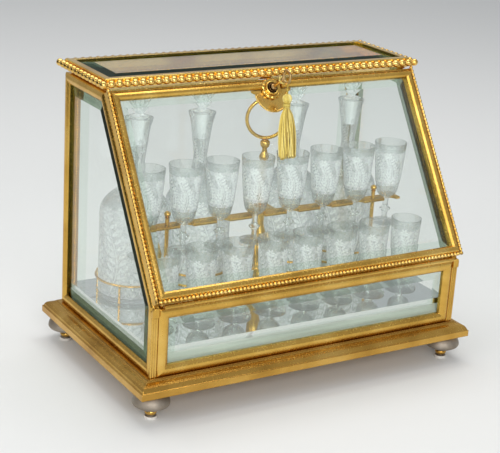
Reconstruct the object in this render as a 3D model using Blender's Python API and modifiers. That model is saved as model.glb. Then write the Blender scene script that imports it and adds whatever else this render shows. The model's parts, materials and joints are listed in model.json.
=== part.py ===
"""A glazed table tantalus: a sloping bevelled-glass case with a fall-front door, a hinged lid, a lock
and its tasselled key, and the lift-out stand with four decanters and sixteen glasses inside.

Metres, +Z up. X runs along the front, +Y to the back, the origin is on the floor under the plinth's
centre. Each named object is one physical piece.
"""
import math

import bmesh
import bpy
from mathutils import Vector

# Clearances and overruns shared by every piece
GAP = 0.0003
CUT_OVERRUN = 0.004
WELD_LAP = 0.0005

# Feet: turned buns on a ball and a pad
FOOT_HEIGHT = 0.0302
FOOT_RADIUS = 0.020
FOOT_PAD_RADIUS = 0.007
FOOT_SPACING_X = 0.378
FOOT_SPACING_Y = 0.216
FOOT_SEGMENTS = 12
FOOT_BUN_SHARES = ((0.65, 1.0), (0.82, 0.90), (0.94, 0.75), (1.0, 0.55), (1.0, 0.46), (0.84, 0.41))
FOOT_BALL_SHARES = ((0.60, 0.37), (0.82, 0.29), (0.86, 0.21), (0.62, 0.11), (1.0, 0.085), (1.0, 0.0))

# Plinth: a slab with a plain fascia and an ogee running in to a fillet
PLINTH_WIDTH = 0.420
PLINTH_DEPTH = 0.257
PLINTH_FASCIA = 0.0071
PLINTH_MOULDING_HEIGHT = 0.0092
PLINTH_MOULDING_INSET = 0.0124
PLINTH_OGEE_SHARES = ((0.0, 0.0), (0.11, 0.08), (0.17, 0.30), (0.30, 0.52), (0.50, 0.66),
                      (0.74, 0.73), (0.88, 0.80), (0.90, 0.90), (1.0, 0.92), (1.0, 1.0))

# Case: overall sizes and the members that frame the glass
CASE_WIDTH = 0.390
CASE_BACK_Y = 0.111
CASE_FRONT_Y = -0.1133
CASE_HEIGHT = 0.2669
CASE_TOP_DEPTH = 0.098
LOW_FRONT_HEIGHT = 0.0749
GLASS_THICKNESS = 0.005
BEVEL_WIDTH = 0.015
BEVEL_DEPTH = 0.0022
REBATE_WIDTH = 0.0065
SIDE_MEMBER_WIDTH = 0.011
SIDE_MEMBER_THICKNESS = 0.008
BACK_MEMBER_WIDTH = 0.0105
BACK_MEMBER_THICKNESS = 0.011
LOW_MEMBER_WIDTH = 0.0117
LOW_MEMBER_THICKNESS = 0.012
LOW_MEMBER_PROUD = 0.0027
MEMBER_ROUND_SHARES = ((0.0, 0.0), (0.10, 0.45), (0.28, 0.86), (0.48, 1.0), (0.68, 0.86),
                       (0.90, 0.42), (1.0, 0.0))
MEMBER_ROUND_HEIGHT = 0.0026
MEMBER_LIP = 0.0008
GLAZING_BEAD_WIDTH = 0.005
GLAZING_BEAD_DEPTH = 0.003

# Reeded corners under the door and the tongue above them
REED_COUNT = 3
REED_PROUD = 0.0012
REED_HEIGHT = 0.066
TONGUE_HEIGHT = 0.0106
TONGUE_PROUD = 0.0025

# Floor: the board that fills the foot of the case and the mirror on it
TRAY_THICKNESS = 0.021
MIRROR_THICKNESS = 0.0065
FLOOR_SIDE_CLEARANCE = 0.0005

# Door: a slanted frame with a rounded moulding, and its hinge under the bottom rail
DOOR_OVERHANG = 0.0015
DOOR_TOP_CLEARANCE = 0.0013
DOOR_RAIL_WIDTH = 0.01135
DOOR_RAIL_HEIGHT = 0.0127
DOOR_BEAD_RADIUS = 0.0022
DOOR_BEAD_INSET = 0.0005
DOOR_BEAD_HEIGHT = 0.0097
DOOR_REBATE = 0.0043
DOOR_MOULDING_SHARES = ((0.0, 0.56), (0.20, 0.89), (0.47, 1.0), (0.73, 0.89), (0.95, 0.53), (1.0, 0.18))
HINGE_BELOW_SEAT = 0.0023
HINGE_ABOVE_SEAT = 0.0047
HINGE_FOOT_GAP = 0.0014

# Hinges: a long middle knuckle on what moves, a short one at each end, and a pin through all
KNUCKLE_RADIUS = 0.0025
KNUCKLE_BORE = 0.0013
HINGE_PIN_RADIUS = 0.0010
HINGE_SPAN = 0.368
KNUCKLE_SPAN = 0.300
KNUCKLE_GAP = 0.0004
KNUCKLE_SEGMENTS = 12
LEAF_THICKNESS = 0.0020
HINGE_RAIL_THICKNESS = 0.0022

# Lid: a coved frame edged with beads, and its bevelled glass
LID_OVERHANG = 0.003
LID_FRONT_OVERHANG = 0.0079
LID_BACK_OVERHANG = 0.0041
LID_BEAD_RADIUS = 0.0042
LID_BEAD_HEIGHT = 0.0117
LID_BEAD_SIDES = 6
LID_BEAD_PITCH = 0.009
LID_BEAD_NECK_SHARE = 0.55
LID_FRAME_HEIGHT = 0.0147
LID_FRAME_WIDTH = 0.017
LID_FILLET_PROUD = 0.0005
LID_COVE_WIDTH = 0.0105
LID_COVE_HEIGHT = 0.006
LID_COVE_SHARES = ((0.0, 1.0), (0.30, 0.88), (0.58, 0.62), (0.82, 0.28), (1.0, 0.0))
LID_GLASS_INSET = 0.0123
LID_GLASS_THICKNESS = 0.004
LID_RIM_CHAMFER = 0.001
LID_KNUCKLE_RADIUS = 0.0022
LID_HINGE_BEHIND = 0.0026
LID_HINGE_ABOVE = 0.002

# Lock: plate, rosette, case and bolt round the key's axis
KEY_DROP = 0.0113
ESCUTCHEON_WIDTH = 0.050
ESCUTCHEON_APRON_RADIUS = 0.021
ESCUTCHEON_DROP = 0.038
ESCUTCHEON_THICKNESS = 0.0018
ESCUTCHEON_SEGMENTS = 14
ESCUTCHEON_EAR_SHARES = (0.35, 0.70)
KEYHOLE_ARC_POINTS = 7
ROSETTE_RADIUS = 0.0125
ROSETTE_HEIGHT = 0.005
ROSETTE_PETALS = 10
ROSETTE_SCALLOP_SHARE = 0.93
ROSETTE_SHARES = ((1.0, 0.0), (1.0, 0.30), (0.86, 0.58), (0.68, 0.46), (0.62, 0.80), (0.50, 0.86),
                  (0.42, 0.55), (0.36, 0.94))
LOCK_HALF_WIDTH = 0.017
LOCK_DROP = 0.025
LOCK_WALL = 0.0007
LOCK_CHAMBER_RADIUS = 0.0043
BOLT_WIDTH = 0.014
BOLT_LENGTH = 0.0064
BOLT_THICKNESS = 0.0030
BOLT_TRAVEL = 0.005
BOLT_POCKET_DEPTH = 0.006
BOLT_POCKET_FRONT = 0.003
BOLT_POCKET_REACH = 0.010
BOLT_SETBACK = 0.0005
BOLT_CLEARANCE = 0.0005

# Key and tassel
KEY_SHANK_RADIUS = 0.0020
KEY_SHANK_OUT = 0.026
KEYHOLE_RADIUS = 0.0026
KEY_COLLAR_RADIUS = 0.0032
KEY_COLLAR_LENGTH = 0.0016
KEY_BOW_RADIUS = 0.0068
KEY_BOW_TUBE = 0.0013
KEY_BOW_SEGMENTS = 16
KEY_BOW_OUT = 0.034
KEY_BIT_LENGTH = 0.0020
KEY_BIT_WIDTH = 0.0012
CORD_RADIUS = 0.0010
CORD_LOOP_OUT = 0.024
CORD_LOOP_SEGMENTS = 14
TASSEL_TAIL_RADIUS = 0.0012
TASSEL_TAIL_LENGTH = 0.015
TASSEL_HEAD_RADIUS = 0.0052
TASSEL_NECK_RADIUS = 0.0028
TASSEL_DROP_LENGTH = 0.030
TASSEL_SKIRT_LENGTH = 0.056
TASSEL_SKIRT_WIDTH = 0.019
TASSEL_SKIRT_LEAN = 0.0112
TASSEL_REST_HEIGHT = 0.0069
TASSEL_FLAT_SHARE = 0.65
TASSEL_HEAD_SHARES = ((0.75, 0.12), (1.0, 0.32), (0.75, 0.50))
TASSEL_NECK_SHARE = 0.64
TASSEL_SKIRT_SHARES = ((0.05, 0.50), (0.30, 0.68), (0.70, 0.88), (1.0, 1.0))
TASSEL_SIDES = 10

# Stand: column, ring, rail and gallery
COLUMN_Y = 0.006
RING_HEAD_ROOM = 0.0178
COLUMN_RADIUS = 0.012
COLUMN_SEGMENTS = 12
COLUMN_SHARES = ((0.30, 1.0), (0.46, 0.985), (0.46, 0.965), (0.22, 0.945), (0.42, 0.900), (0.50, 0.880),
                 (0.24, 0.860), (0.30, 0.700), (0.38, 0.580), (0.38, 0.500), (0.34, 0.440),
                 (0.62, 0.360), (0.70, 0.290), (0.34, 0.180), (0.34, 0.130), (0.60, 0.100),
                 (0.60, 0.070), (1.0, 0.035), (1.0, 0.0))
RING_RADIUS = 0.022
RING_TUBE = 0.002
RING_TURN = math.radians(-20)
RING_SEGMENTS = 20
WIRE_SIDES = 6
RAIL_HEIGHT_SHARE = 0.5483
RAIL_THICKNESS = 0.003
RAIL_LENGTH = 0.340
RAIL_FRONT_REACH = 0.014
RAIL_BACK_REACH = 0.011
RAIL_NOTCH_RADIUS = 0.0045
RAIL_SCALLOP_RADIUS = 0.0135
RAIL_TAB_RADIUS = 0.009
NOTCH_POINTS = 7
SCALLOP_POINTS = 4
ROUND_END_POINTS = 9
POST_RADIUS = 0.0022
POST_SEGMENTS = 8
POST_ABOVE_RAIL = 0.020
POST_PITCHES = 3
POST_FORWARD = 0.008
POST_FINIAL_RADIUS = 0.0036
FINIAL_SHARES = ((0.7, 0.3), (1.0, 1.0), (0.7, 1.7))
GALLERY_TUBE = 0.0013
GALLERY_HEIGHT = 0.0217
GALLERY_CLEARANCE = 0.0010
GALLERY_ARC_POINTS = 17
GALLERY_LEG_TURN = math.radians(45)

# Glasses and decanters
GLASS_COUNT = 8
GLASS_PITCH = 0.0446
GLASS_WALL = 0.0015
GLASS_SEGMENTS = 8
TALL_GLASS_Y = -0.018
TALL_GLASS_RIM_RADIUS = 0.0185
TALL_GLASS_HEAD_ROOM = 0.0018
TALL_GLASS_STEM_HEIGHT = 0.0323
TALL_GLASS_FOOT_RADIUS = 0.016
TALL_GLASS_SHOULDER_RADIUS = 0.0085
TALL_GLASS_NECK_RADIUS = 0.0037
TALL_BOWL_SHARES = ((0.58, 0.05), (0.70, 0.16), (0.80, 0.42), (0.92, 0.75), (1.0, 1.0))
TALL_STEM_SHARES = ((1.0, 0.60), (1.75, 0.50), (1.0, 0.38), (0.80, 0.20))
LOW_GLASS_Y = -0.060
LOW_GLASS_RIM_RADIUS = 0.0175
LOW_GLASS_BOWL_HEIGHT = 0.0727
LOW_GLASS_STEM_HEIGHT = 0.011
LOW_GLASS_FOOT_RADIUS = 0.018
LOW_GLASS_NECK_RADIUS = 0.0034
LOW_GLASS_SHOULDER_RADIUS = 0.006
LOW_BOWL_SHARES = ((0.50, 0.03), (0.70, 0.10), (0.80, 0.36), (0.92, 0.72), (1.0, 1.0))
LOW_STEM_SHARES = ((1.0, 0.88), (1.60, 0.64), (0.90, 0.40))
GLASS_FOOT_EDGE = 0.0014
DECANTER_INNER_X = 0.061
DECANTER_OUTER_X = 0.138
DECANTER_Y = 0.042
DECANTER_RADIUS = 0.037
DECANTER_HEAD_ROOM = 0.0081
DECANTER_BASE = 0.0067
DECANTER_WALL = 0.0034
DECANTER_SEGMENTS = 16
DECANTER_OUTER_SHARES = ((0.365, 1.0), (0.325, 0.93), (0.257, 0.84), (0.211, 0.761), (0.230, 0.696),
                         (0.324, 0.646), (0.540, 0.601), (0.784, 0.562), (0.946, 0.522), (1.0, 0.482),
                         (1.0, 0.02), (0.95, 0.0))
DECANTER_THROAT_RADIUS = 0.0052
DECANTER_MOUTH_RADIUS = 0.0088
DECANTER_SOCKET_RADIUS = 0.0061
DECANTER_INNER_SHARES = ((1.0, 0.034), (1.0, 0.482), (0.92, 0.522), (0.70, 0.562), (0.38, 0.601),
                         (0.12, 0.646), (0.0, 0.70))
STOPPER_PLUG_LENGTH = 0.030
STOPPER_SEAT = 0.0004
STOPPER_RADIUS = 0.014
STOPPER_HEIGHT = 0.0296
STOPPER_SIDES = 8
STOPPER_SHARES = ((0.0, 1.0), (0.30, 0.98), (0.68, 0.88), (1.0, 0.66), (0.70, 0.40), (0.36, 0.17),
                  (0.70, 0.075), (0.70, 0.0))

# Places worked out from the sizes above
PLINTH_BOTTOM = FOOT_HEIGHT + GAP
PLINTH_TOP = PLINTH_BOTTOM + PLINTH_FASCIA + PLINTH_MOULDING_HEIGHT
CASE_BOTTOM = PLINTH_TOP + GAP
CASE_TOP = CASE_BOTTOM + CASE_HEIGHT
SIDE_OUTER_X = CASE_WIDTH / 2
SIDE_INNER_X = SIDE_OUTER_X - SIDE_MEMBER_THICKNESS
INNER_HALF = SIDE_INNER_X - GAP
RAIL_SEAT_Z = CASE_BOTTOM + LOW_FRONT_HEIGHT + GAP
SEAT_FOOT_Z = RAIL_SEAT_Z + HINGE_RAIL_THICKNESS
SEAT_TOP_Y = CASE_BACK_Y - CASE_TOP_DEPTH
SLOPE_RUN = SEAT_TOP_Y - CASE_FRONT_Y
SLOPE_RISE = CASE_TOP - SEAT_FOOT_Z
SLOPE = math.atan2(SLOPE_RISE, SLOPE_RUN)
SLOPE_LENGTH = math.hypot(SLOPE_RUN, SLOPE_RISE)
UP_SLOPE = Vector((0, math.cos(SLOPE), math.sin(SLOPE)))
OUT_OF_SLOPE = Vector((0, -math.sin(SLOPE), math.cos(SLOPE)))
SEAT_FOOT = Vector((0, CASE_FRONT_Y, SEAT_FOOT_Z))
DOOR_AXIS = SEAT_FOOT - UP_SLOPE * HINGE_BELOW_SEAT + OUT_OF_SLOPE * HINGE_ABOVE_SEAT
LID_AXIS = Vector((0, CASE_BACK_Y + LID_HINGE_BEHIND, CASE_TOP + LID_HINGE_ABOVE))
TRAY_TOP = CASE_BOTTOM + TRAY_THICKNESS
FLOOR_Z = TRAY_TOP + GAP + MIRROR_THICKNESS
STAND_Z = FLOOR_Z + GAP
COLUMN_HEIGHT = CASE_TOP - STAND_Z - RING_HEAD_ROOM - GAP - 2 * (RING_RADIUS + RING_TUBE)
RAIL_HEIGHT = COLUMN_HEIGHT * RAIL_HEIGHT_SHARE
RAIL_Z = STAND_Z + RAIL_HEIGHT
TALL_GLASS_BOWL_Z = RAIL_Z + RAIL_THICKNESS + GAP
TALL_GLASS_SLOPE_Z = SEAT_FOOT_Z + (TALL_GLASS_Y - TALL_GLASS_RIM_RADIUS - CASE_FRONT_Y) * math.tan(SLOPE)
TALL_GLASS_BOWL_HEIGHT = TALL_GLASS_SLOPE_Z - TALL_GLASS_HEAD_ROOM - TALL_GLASS_BOWL_Z
DECANTER_XS = (-DECANTER_OUTER_X, -DECANTER_INNER_X, DECANTER_INNER_X, DECANTER_OUTER_X)
DECANTER_HEIGHT = CASE_TOP - STAND_Z - DECANTER_HEAD_ROOM - STOPPER_SEAT - STOPPER_HEIGHT

# The door's own frame: y runs up the slope from the hinge axis, z out of it
DOOR_UNDER = GAP - HINGE_ABOVE_SEAT
DOOR_FOOT = HINGE_BELOW_SEAT + HINGE_FOOT_GAP
DOOR_HEAD = HINGE_BELOW_SEAT + SLOPE_LENGTH - DOOR_TOP_CLEARANCE
DOOR_HALF = SIDE_OUTER_X - DOOR_OVERHANG
DOOR_REBATE_HEIGHT = GLASS_THICKNESS + 2 * GAP
DOOR_LEDGE = DOOR_BEAD_HEIGHT - DOOR_BEAD_RADIUS - GAP
DOOR_WALL = DOOR_BEAD_INSET + DOOR_BEAD_RADIUS + GAP
PLATE_UNDER = DOOR_UNDER + DOOR_REBATE_HEIGHT
PLATE_TOP = PLATE_UNDER + ESCUTCHEON_THICKNESS
KEY_Y = DOOR_HEAD - KEY_DROP


def collection(name):
    made = bpy.data.collections.new(name)
    bpy.context.scene.collection.children.link(made)
    return made


for old in list(bpy.data.objects):
    bpy.data.objects.remove(old, do_unlink=True)
PARTS = collection("tantalus")
CUTTERS = collection("tantalus_cutters")


def material(name, colour, roughness, metallic=0.0, transmission=0.0):
    made = bpy.data.materials.new(name)
    made.use_nodes = True
    surface = made.node_tree.nodes["Principled BSDF"]
    surface.inputs["Base Color"].default_value = (*colour, 1.0)
    surface.inputs["Roughness"].default_value = roughness
    surface.inputs["Metallic"].default_value = metallic
    surface.inputs["Transmission Weight"].default_value = transmission
    return made


GILT = material("gilt_brass", (0.83, 0.58, 0.20), 0.22, metallic=1.0)
FOOT_METAL = material("worn_brass", (0.42, 0.38, 0.30), 0.35, metallic=1.0)
PLATE_GLASS = material("plate_glass", (0.86, 0.90, 0.86), 0.03, transmission=1.0)
CRYSTAL = material("cut_crystal", (0.93, 0.94, 0.93), 0.05, transmission=1.0)
MIRROR = material("mirror", (0.75, 0.76, 0.74), 0.04, metallic=1.0)
WOOD = material("dark_wood", (0.10, 0.045, 0.02), 0.45)
STEEL = material("lock_steel", (0.45, 0.44, 0.42), 0.35, metallic=1.0)
GILT_WOOD = material("gilt_wood", (0.72, 0.50, 0.18), 0.35, metallic=1.0)
SILK = material("silk", (0.88, 0.76, 0.34), 0.6)


def placed(thing, finish, parent=None, location=(0, 0, 0), cutter=False):
    """Links an object under its parent, as a piece or as a hidden cutter."""
    (CUTTERS if cutter else PARTS).objects.link(thing)
    thing.location = location
    thing.parent = parent
    if cutter:
        thing.hide_render = True
        thing.display_type = "WIRE"
    elif not thing.data.materials:
        thing.data.materials.append(finish)
    return thing


def joint_frame(name, location, tilt=0.0, parent=None):
    """An empty on a joint's axis, which its moving pieces hang from."""
    made = bpy.data.objects.new(name, None)
    PARTS.objects.link(made)
    made.location = location
    made.rotation_euler = (tilt, 0, 0)
    made.parent = parent
    return made


def closed_mesh(name, bm, sharp=math.radians(35)):
    """Turns a bmesh into a mesh with outward faces, smooth except at sharp edges."""
    bm.normal_update()
    bmesh.ops.recalc_face_normals(bm, faces=bm.faces)
    mesh = bpy.data.meshes.new(name)
    bm.to_mesh(mesh)
    bm.free()
    mesh.shade_smooth()
    mesh.set_sharp_from_angle(angle=sharp)
    return mesh


def lofted(name, rings, ends="capped", sharp=math.radians(35)):
    """Skins rings of equal length; the two ends are capped, or meet each other in a loop."""
    bm = bmesh.new()
    made = [[bm.verts.new(point) for point in ring] for ring in rings]
    count = len(made[0])
    spans = list(zip(made, made[1:]))
    if ends == "joined":
        spans.append((made[-1], made[0]))
    for lower, upper in spans:
        for index in range(count):
            after = (index + 1) % count
            bm.faces.new((lower[index], lower[after], upper[after], upper[index]))
    if ends == "capped":
        bm.faces.new(made[0])
        bm.faces.new(made[-1])
    return closed_mesh(name, bm, sharp)


def rectangle(half_width, low, high):
    return [(-half_width, low), (half_width, low), (half_width, high), (-half_width, high)]


def mitres(outline):
    """The inward direction at each corner of an outline that runs anticlockwise, scaled to a unit inset."""
    found = []
    for index, corner in enumerate(outline):
        before = Vector(corner) - Vector(outline[index - 1])
        after = Vector(outline[(index + 1) % len(outline)]) - Vector(corner)
        first = Vector((-before.y, before.x)).normalized()
        second = Vector((-after.y, after.x)).normalized()
        found.append((first + second) / (1 + first.dot(second)))
    return found


def inset(outline, distance):
    return [Vector(corner) + mitre * distance for corner, mitre in zip(outline, mitres(outline))]


def flat_xy(point, height):
    return (point[0], point[1], height)


def facing_front(point, height):
    return (point[0], -height, point[1])


def mitred_frame(name, outline, section, place=flat_xy):
    """A moulding run round an outline. The section's points are (inset, height)."""
    corners = list(zip(outline, mitres(outline)))
    rings = [[place(Vector(corner) + mitre * across, height) for across, height in section]
             for corner, mitre in corners]
    return lofted(name, rings, ends="joined")


def stepped_slab(name, outline, levels, place=flat_xy):
    """A solid whose outline is drawn in level by level. The levels are (inset, height)."""
    rings = [[place(point, height) for point in inset(outline, across)] for across, height in levels]
    return lofted(name, rings)


def pane_levels(low, thickness):
    """A pane with its back at the given height and a broad bevel on its face."""
    return [(0, low), (0, low + thickness - BEVEL_DEPTH), (BEVEL_WIDTH, low + thickness)]


def pane_in(thickness):
    """The pane that a member of this thickness holds, with a clearance behind and before it."""
    return pane_levels(GAP, rebate_height(thickness) - 2 * GAP)


def member_section(width, thickness):
    """A glazing member: back, rounded face, lip and rebate, seen from its outer edge inward."""
    flank = thickness - MEMBER_ROUND_HEIGHT
    face = [(across * width, flank + rise * MEMBER_ROUND_HEIGHT) for across, rise in MEMBER_ROUND_SHARES]
    seat = rebate_height(thickness)
    return [(0, 0), *face, (width, seat), (REBATE_WIDTH, seat), (REBATE_WIDTH, 0)]


def rebate_height(thickness):
    """The pane and its clearances fill the rebate, or as much of it as leaves a lip before the pane."""
    return min(GLASS_THICKNESS + 2 * GAP, thickness - MEMBER_ROUND_HEIGHT - MEMBER_LIP)


def turned(name, profile, steps, finish, parent=None, location=(0, 0, 0), mesh=None, cutter=False):
    """A profile at +X, from the axis down its outer side and back to the axis, turned about Z."""
    if mesh is None:
        mesh = turned_profile(name, profile)
    made = placed(bpy.data.objects.new(name, mesh), finish, parent, location, cutter)
    screw = made.modifiers.new("turned", "SCREW")
    screw.steps = steps
    screw.render_steps = steps
    screw.use_merge_vertices = True
    screw.merge_threshold = 0.00001
    screw.use_smooth_shade = True
    return made


def turned_profile(name, profile):
    bm = bmesh.new()
    points = [bm.verts.new((radius, 0, height)) for radius, height in profile]
    for first, second in zip(points, points[1:]):
        bm.edges.new((first, second))
    mesh = bpy.data.meshes.new(name)
    bm.to_mesh(mesh)
    bm.free()
    return mesh


def scaled(shares, radius, height, base=0.0):
    """Share pairs as (radius, height) points."""
    return [(across * radius, base + up * height) for across, up in shares]


def arc(centre, radius, start, end, points):
    """Points on an arc in the plane, both ends included."""
    turns = [start + (end - start) * index / (points - 1) for index in range(points)]
    return [(centre[0] + radius * math.cos(turn), centre[1] + radius * math.sin(turn)) for turn in turns]


def ring_points(centre, radius, count):
    return arc(centre, radius, 0, 2 * math.pi, count + 1)[:-1]


def flat_plate(name, outlines, thickness, finish, parent=None, location=(0, 0, 0), turn=(0, 0, 0)):
    """A plate from a filled 2D curve: the first outline is its edge, the others are holes."""
    curve = bpy.data.curves.new(name, "CURVE")
    curve.dimensions = "2D"
    curve.fill_mode = "BOTH"
    curve.extrude = thickness / 2
    for outline in outlines:
        spline = curve.splines.new("POLY")
        spline.points.add(len(outline) - 1)
        for point, (x, y) in zip(spline.points, outline):
            point.co = (x, y, 0, 1)
        spline.use_cyclic_u = True
    made = placed(bpy.data.objects.new(name, curve), finish, parent, location)
    made.rotation_euler = turn
    return made


def tube(name, points, radius, finish, closed=False, parent=None, location=(0, 0, 0), sides=2):
    """A round tube along a line of points."""
    curve = bpy.data.curves.new(name, "CURVE")
    curve.dimensions = "3D"
    curve.bevel_depth = radius
    curve.bevel_resolution = sides
    curve.use_fill_caps = not closed
    spline = curve.splines.new("POLY")
    spline.points.add(len(points) - 1)
    for point, place in zip(spline.points, points):
        point.co = (*place, 1)
    spline.use_cyclic_u = closed
    return placed(bpy.data.objects.new(name, curve), finish, parent, location)


def as_mesh(curve_object):
    """Makes a curve a mesh, with its caps welded on, so that it can be joined or cut."""
    bpy.context.view_layer.update()
    evaluated = curve_object.evaluated_get(bpy.context.evaluated_depsgraph_get())
    mesh = bpy.data.meshes.new_from_object(evaluated)
    bm = bmesh.new()
    bm.from_mesh(mesh)
    bmesh.ops.remove_doubles(bm, verts=bm.verts, dist=0.00001)
    bmesh.ops.recalc_face_normals(bm, faces=bm.faces)
    bm.to_mesh(mesh)
    bm.free()
    name = curve_object.name
    made = bpy.data.objects.new(name + "_mesh", mesh)
    for owner in curve_object.users_collection:
        owner.objects.link(made)
    made.parent = curve_object.parent
    made.location = curve_object.location
    made.rotation_euler = curve_object.rotation_euler
    bpy.data.objects.remove(curve_object, do_unlink=True)
    made.name = name
    return made


def to_cutter(thing):
    """Hides a shape that only cuts or joins another."""
    for owner in list(thing.users_collection):
        owner.objects.unlink(thing)
    CUTTERS.objects.link(thing)
    thing.hide_render = True
    thing.display_type = "WIRE"
    return thing


def combine(piece, tool, operation):
    """Joins a shape to a piece, or cuts it out."""
    change = piece.modifiers.new(tool.name, "BOOLEAN")
    change.operation = operation
    change.object = to_cutter(tool)
    change.solver = "EXACT"
    return piece


def block(name, low, high, parent=None):
    """A box between two corners, for joining and cutting."""
    low = Vector(low)
    high = Vector(high)
    bm = bmesh.new()
    bmesh.ops.create_cube(bm, size=1.0)
    size = high - low
    middle = (low + high) / 2
    for vert in bm.verts:
        vert.co = Vector((vert.co.x * size.x, vert.co.y * size.y, vert.co.z * size.z)) + middle
    return placed(bpy.data.objects.new(name, closed_mesh(name, bm)), GILT, parent)


def rod(name, start, end, radius, sides=8, parent=None):
    """A round bar between two points, for joining, cutting or as a piece."""
    start = Vector(start)
    end = Vector(end)
    bm = bmesh.new()
    bmesh.ops.create_cone(bm, cap_ends=True, segments=sides, radius1=radius, radius2=radius,
                          depth=(end - start).length)
    turn = (end - start).to_track_quat("Z", "Y")
    for vert in bm.verts:
        vert.co = turn @ vert.co + (start + end) / 2
    return placed(bpy.data.objects.new(name, closed_mesh(name, bm)), GILT, parent)


# Joint axes
DOOR = joint_frame("door_axis", DOOR_AXIS, tilt=SLOPE)
LID = joint_frame("lid_axis", LID_AXIS)
KEY = joint_frame("key_axis", (0, KEY_Y, DOOR_UNDER + DOOR_BEAD_HEIGHT), parent=DOOR)
BOLT = joint_frame("bolt_axis", (0, DOOR_HEAD - BOLT_SETBACK - BOLT_LENGTH / 2, 0), parent=DOOR)
TASSEL_AXIS_Y = KEY_Y - (KEY_SHANK_RADIUS + CORD_RADIUS + 2 * GAP) / 2
TASSEL_AXIS_Z = DOOR_UNDER + DOOR_BEAD_HEIGHT + CORD_LOOP_OUT
TASSEL = joint_frame("tassel_axis", (0, TASSEL_AXIS_Y, TASSEL_AXIS_Z), parent=DOOR)
ALONG_X = (math.pi / 2, 0, math.pi / 2)


def plain_object(name, mesh, finish, parent=None, location=(0, 0, 0)):
    return placed(bpy.data.objects.new(name, mesh), finish, parent, location)


def plinth_and_feet():
    outline = rectangle(PLINTH_WIDTH / 2, -PLINTH_DEPTH / 2, PLINTH_DEPTH / 2)
    arris = PLINTH_BOTTOM + PLINTH_FASCIA
    levels = [(0, PLINTH_BOTTOM)]
    levels += scaled(PLINTH_OGEE_SHARES, PLINTH_MOULDING_INSET, PLINTH_MOULDING_HEIGHT, arris)
    plain_object("plinth", stepped_slab("plinth", outline, levels), GILT_WOOD)
    profile = [(0, FOOT_HEIGHT)]
    profile += scaled(FOOT_BUN_SHARES, FOOT_RADIUS, FOOT_HEIGHT)
    profile += scaled(FOOT_BALL_SHARES, FOOT_PAD_RADIUS, FOOT_HEIGHT)
    profile.append((0, 0))
    mesh = turned_profile("foot", profile)
    corners = (("front_left", -1, -1), ("front_right", 1, -1), ("back_left", -1, 1), ("back_right", 1, 1))
    for corner, x, y in corners:
        place = (x * FOOT_SPACING_X / 2, y * FOOT_SPACING_Y / 2, 0)
        turned("foot_" + corner, None, FOOT_SEGMENTS, FOOT_METAL, location=place, mesh=mesh)


def floor():
    """The board and the mirror fill the foot of the case, between its front and back frames."""
    half = INNER_HALF - FLOOR_SIDE_CLEARANCE
    front = CASE_FRONT_Y - LOW_MEMBER_PROUD + LOW_MEMBER_THICKNESS + FLOOR_SIDE_CLEARANCE
    back = CASE_BACK_Y - BACK_MEMBER_THICKNESS - GAP - GLAZING_BEAD_DEPTH - GAP
    outline = rectangle(half, front, back)
    board = stepped_slab("tray_board", outline, [(0, CASE_BOTTOM), (0, TRAY_TOP)])
    plain_object("tray_board", board, WOOD)
    glass = stepped_slab("mirror_floor", outline, [(0, TRAY_TOP + GAP), (0, FLOOR_Z)])
    plain_object("mirror_floor", glass, MIRROR)


def low_front():
    outline = rectangle(INNER_HALF, CASE_BOTTOM, CASE_BOTTOM + LOW_FRONT_HEIGHT)
    inner_face = (0, CASE_FRONT_Y - LOW_MEMBER_PROUD + LOW_MEMBER_THICKNESS, 0)
    section = member_section(LOW_MEMBER_WIDTH, LOW_MEMBER_THICKNESS)
    frame = mitred_frame("low_front_frame", outline, section, facing_front)
    plain_object("low_front_frame", frame, GILT, location=inner_face)
    opening = inset(outline, REBATE_WIDTH + GAP)
    pane = stepped_slab("low_front_glass", opening, pane_in(LOW_MEMBER_THICKNESS), facing_front)
    plain_object("low_front_glass", pane, PLATE_GLASS, location=inner_face)


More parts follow.
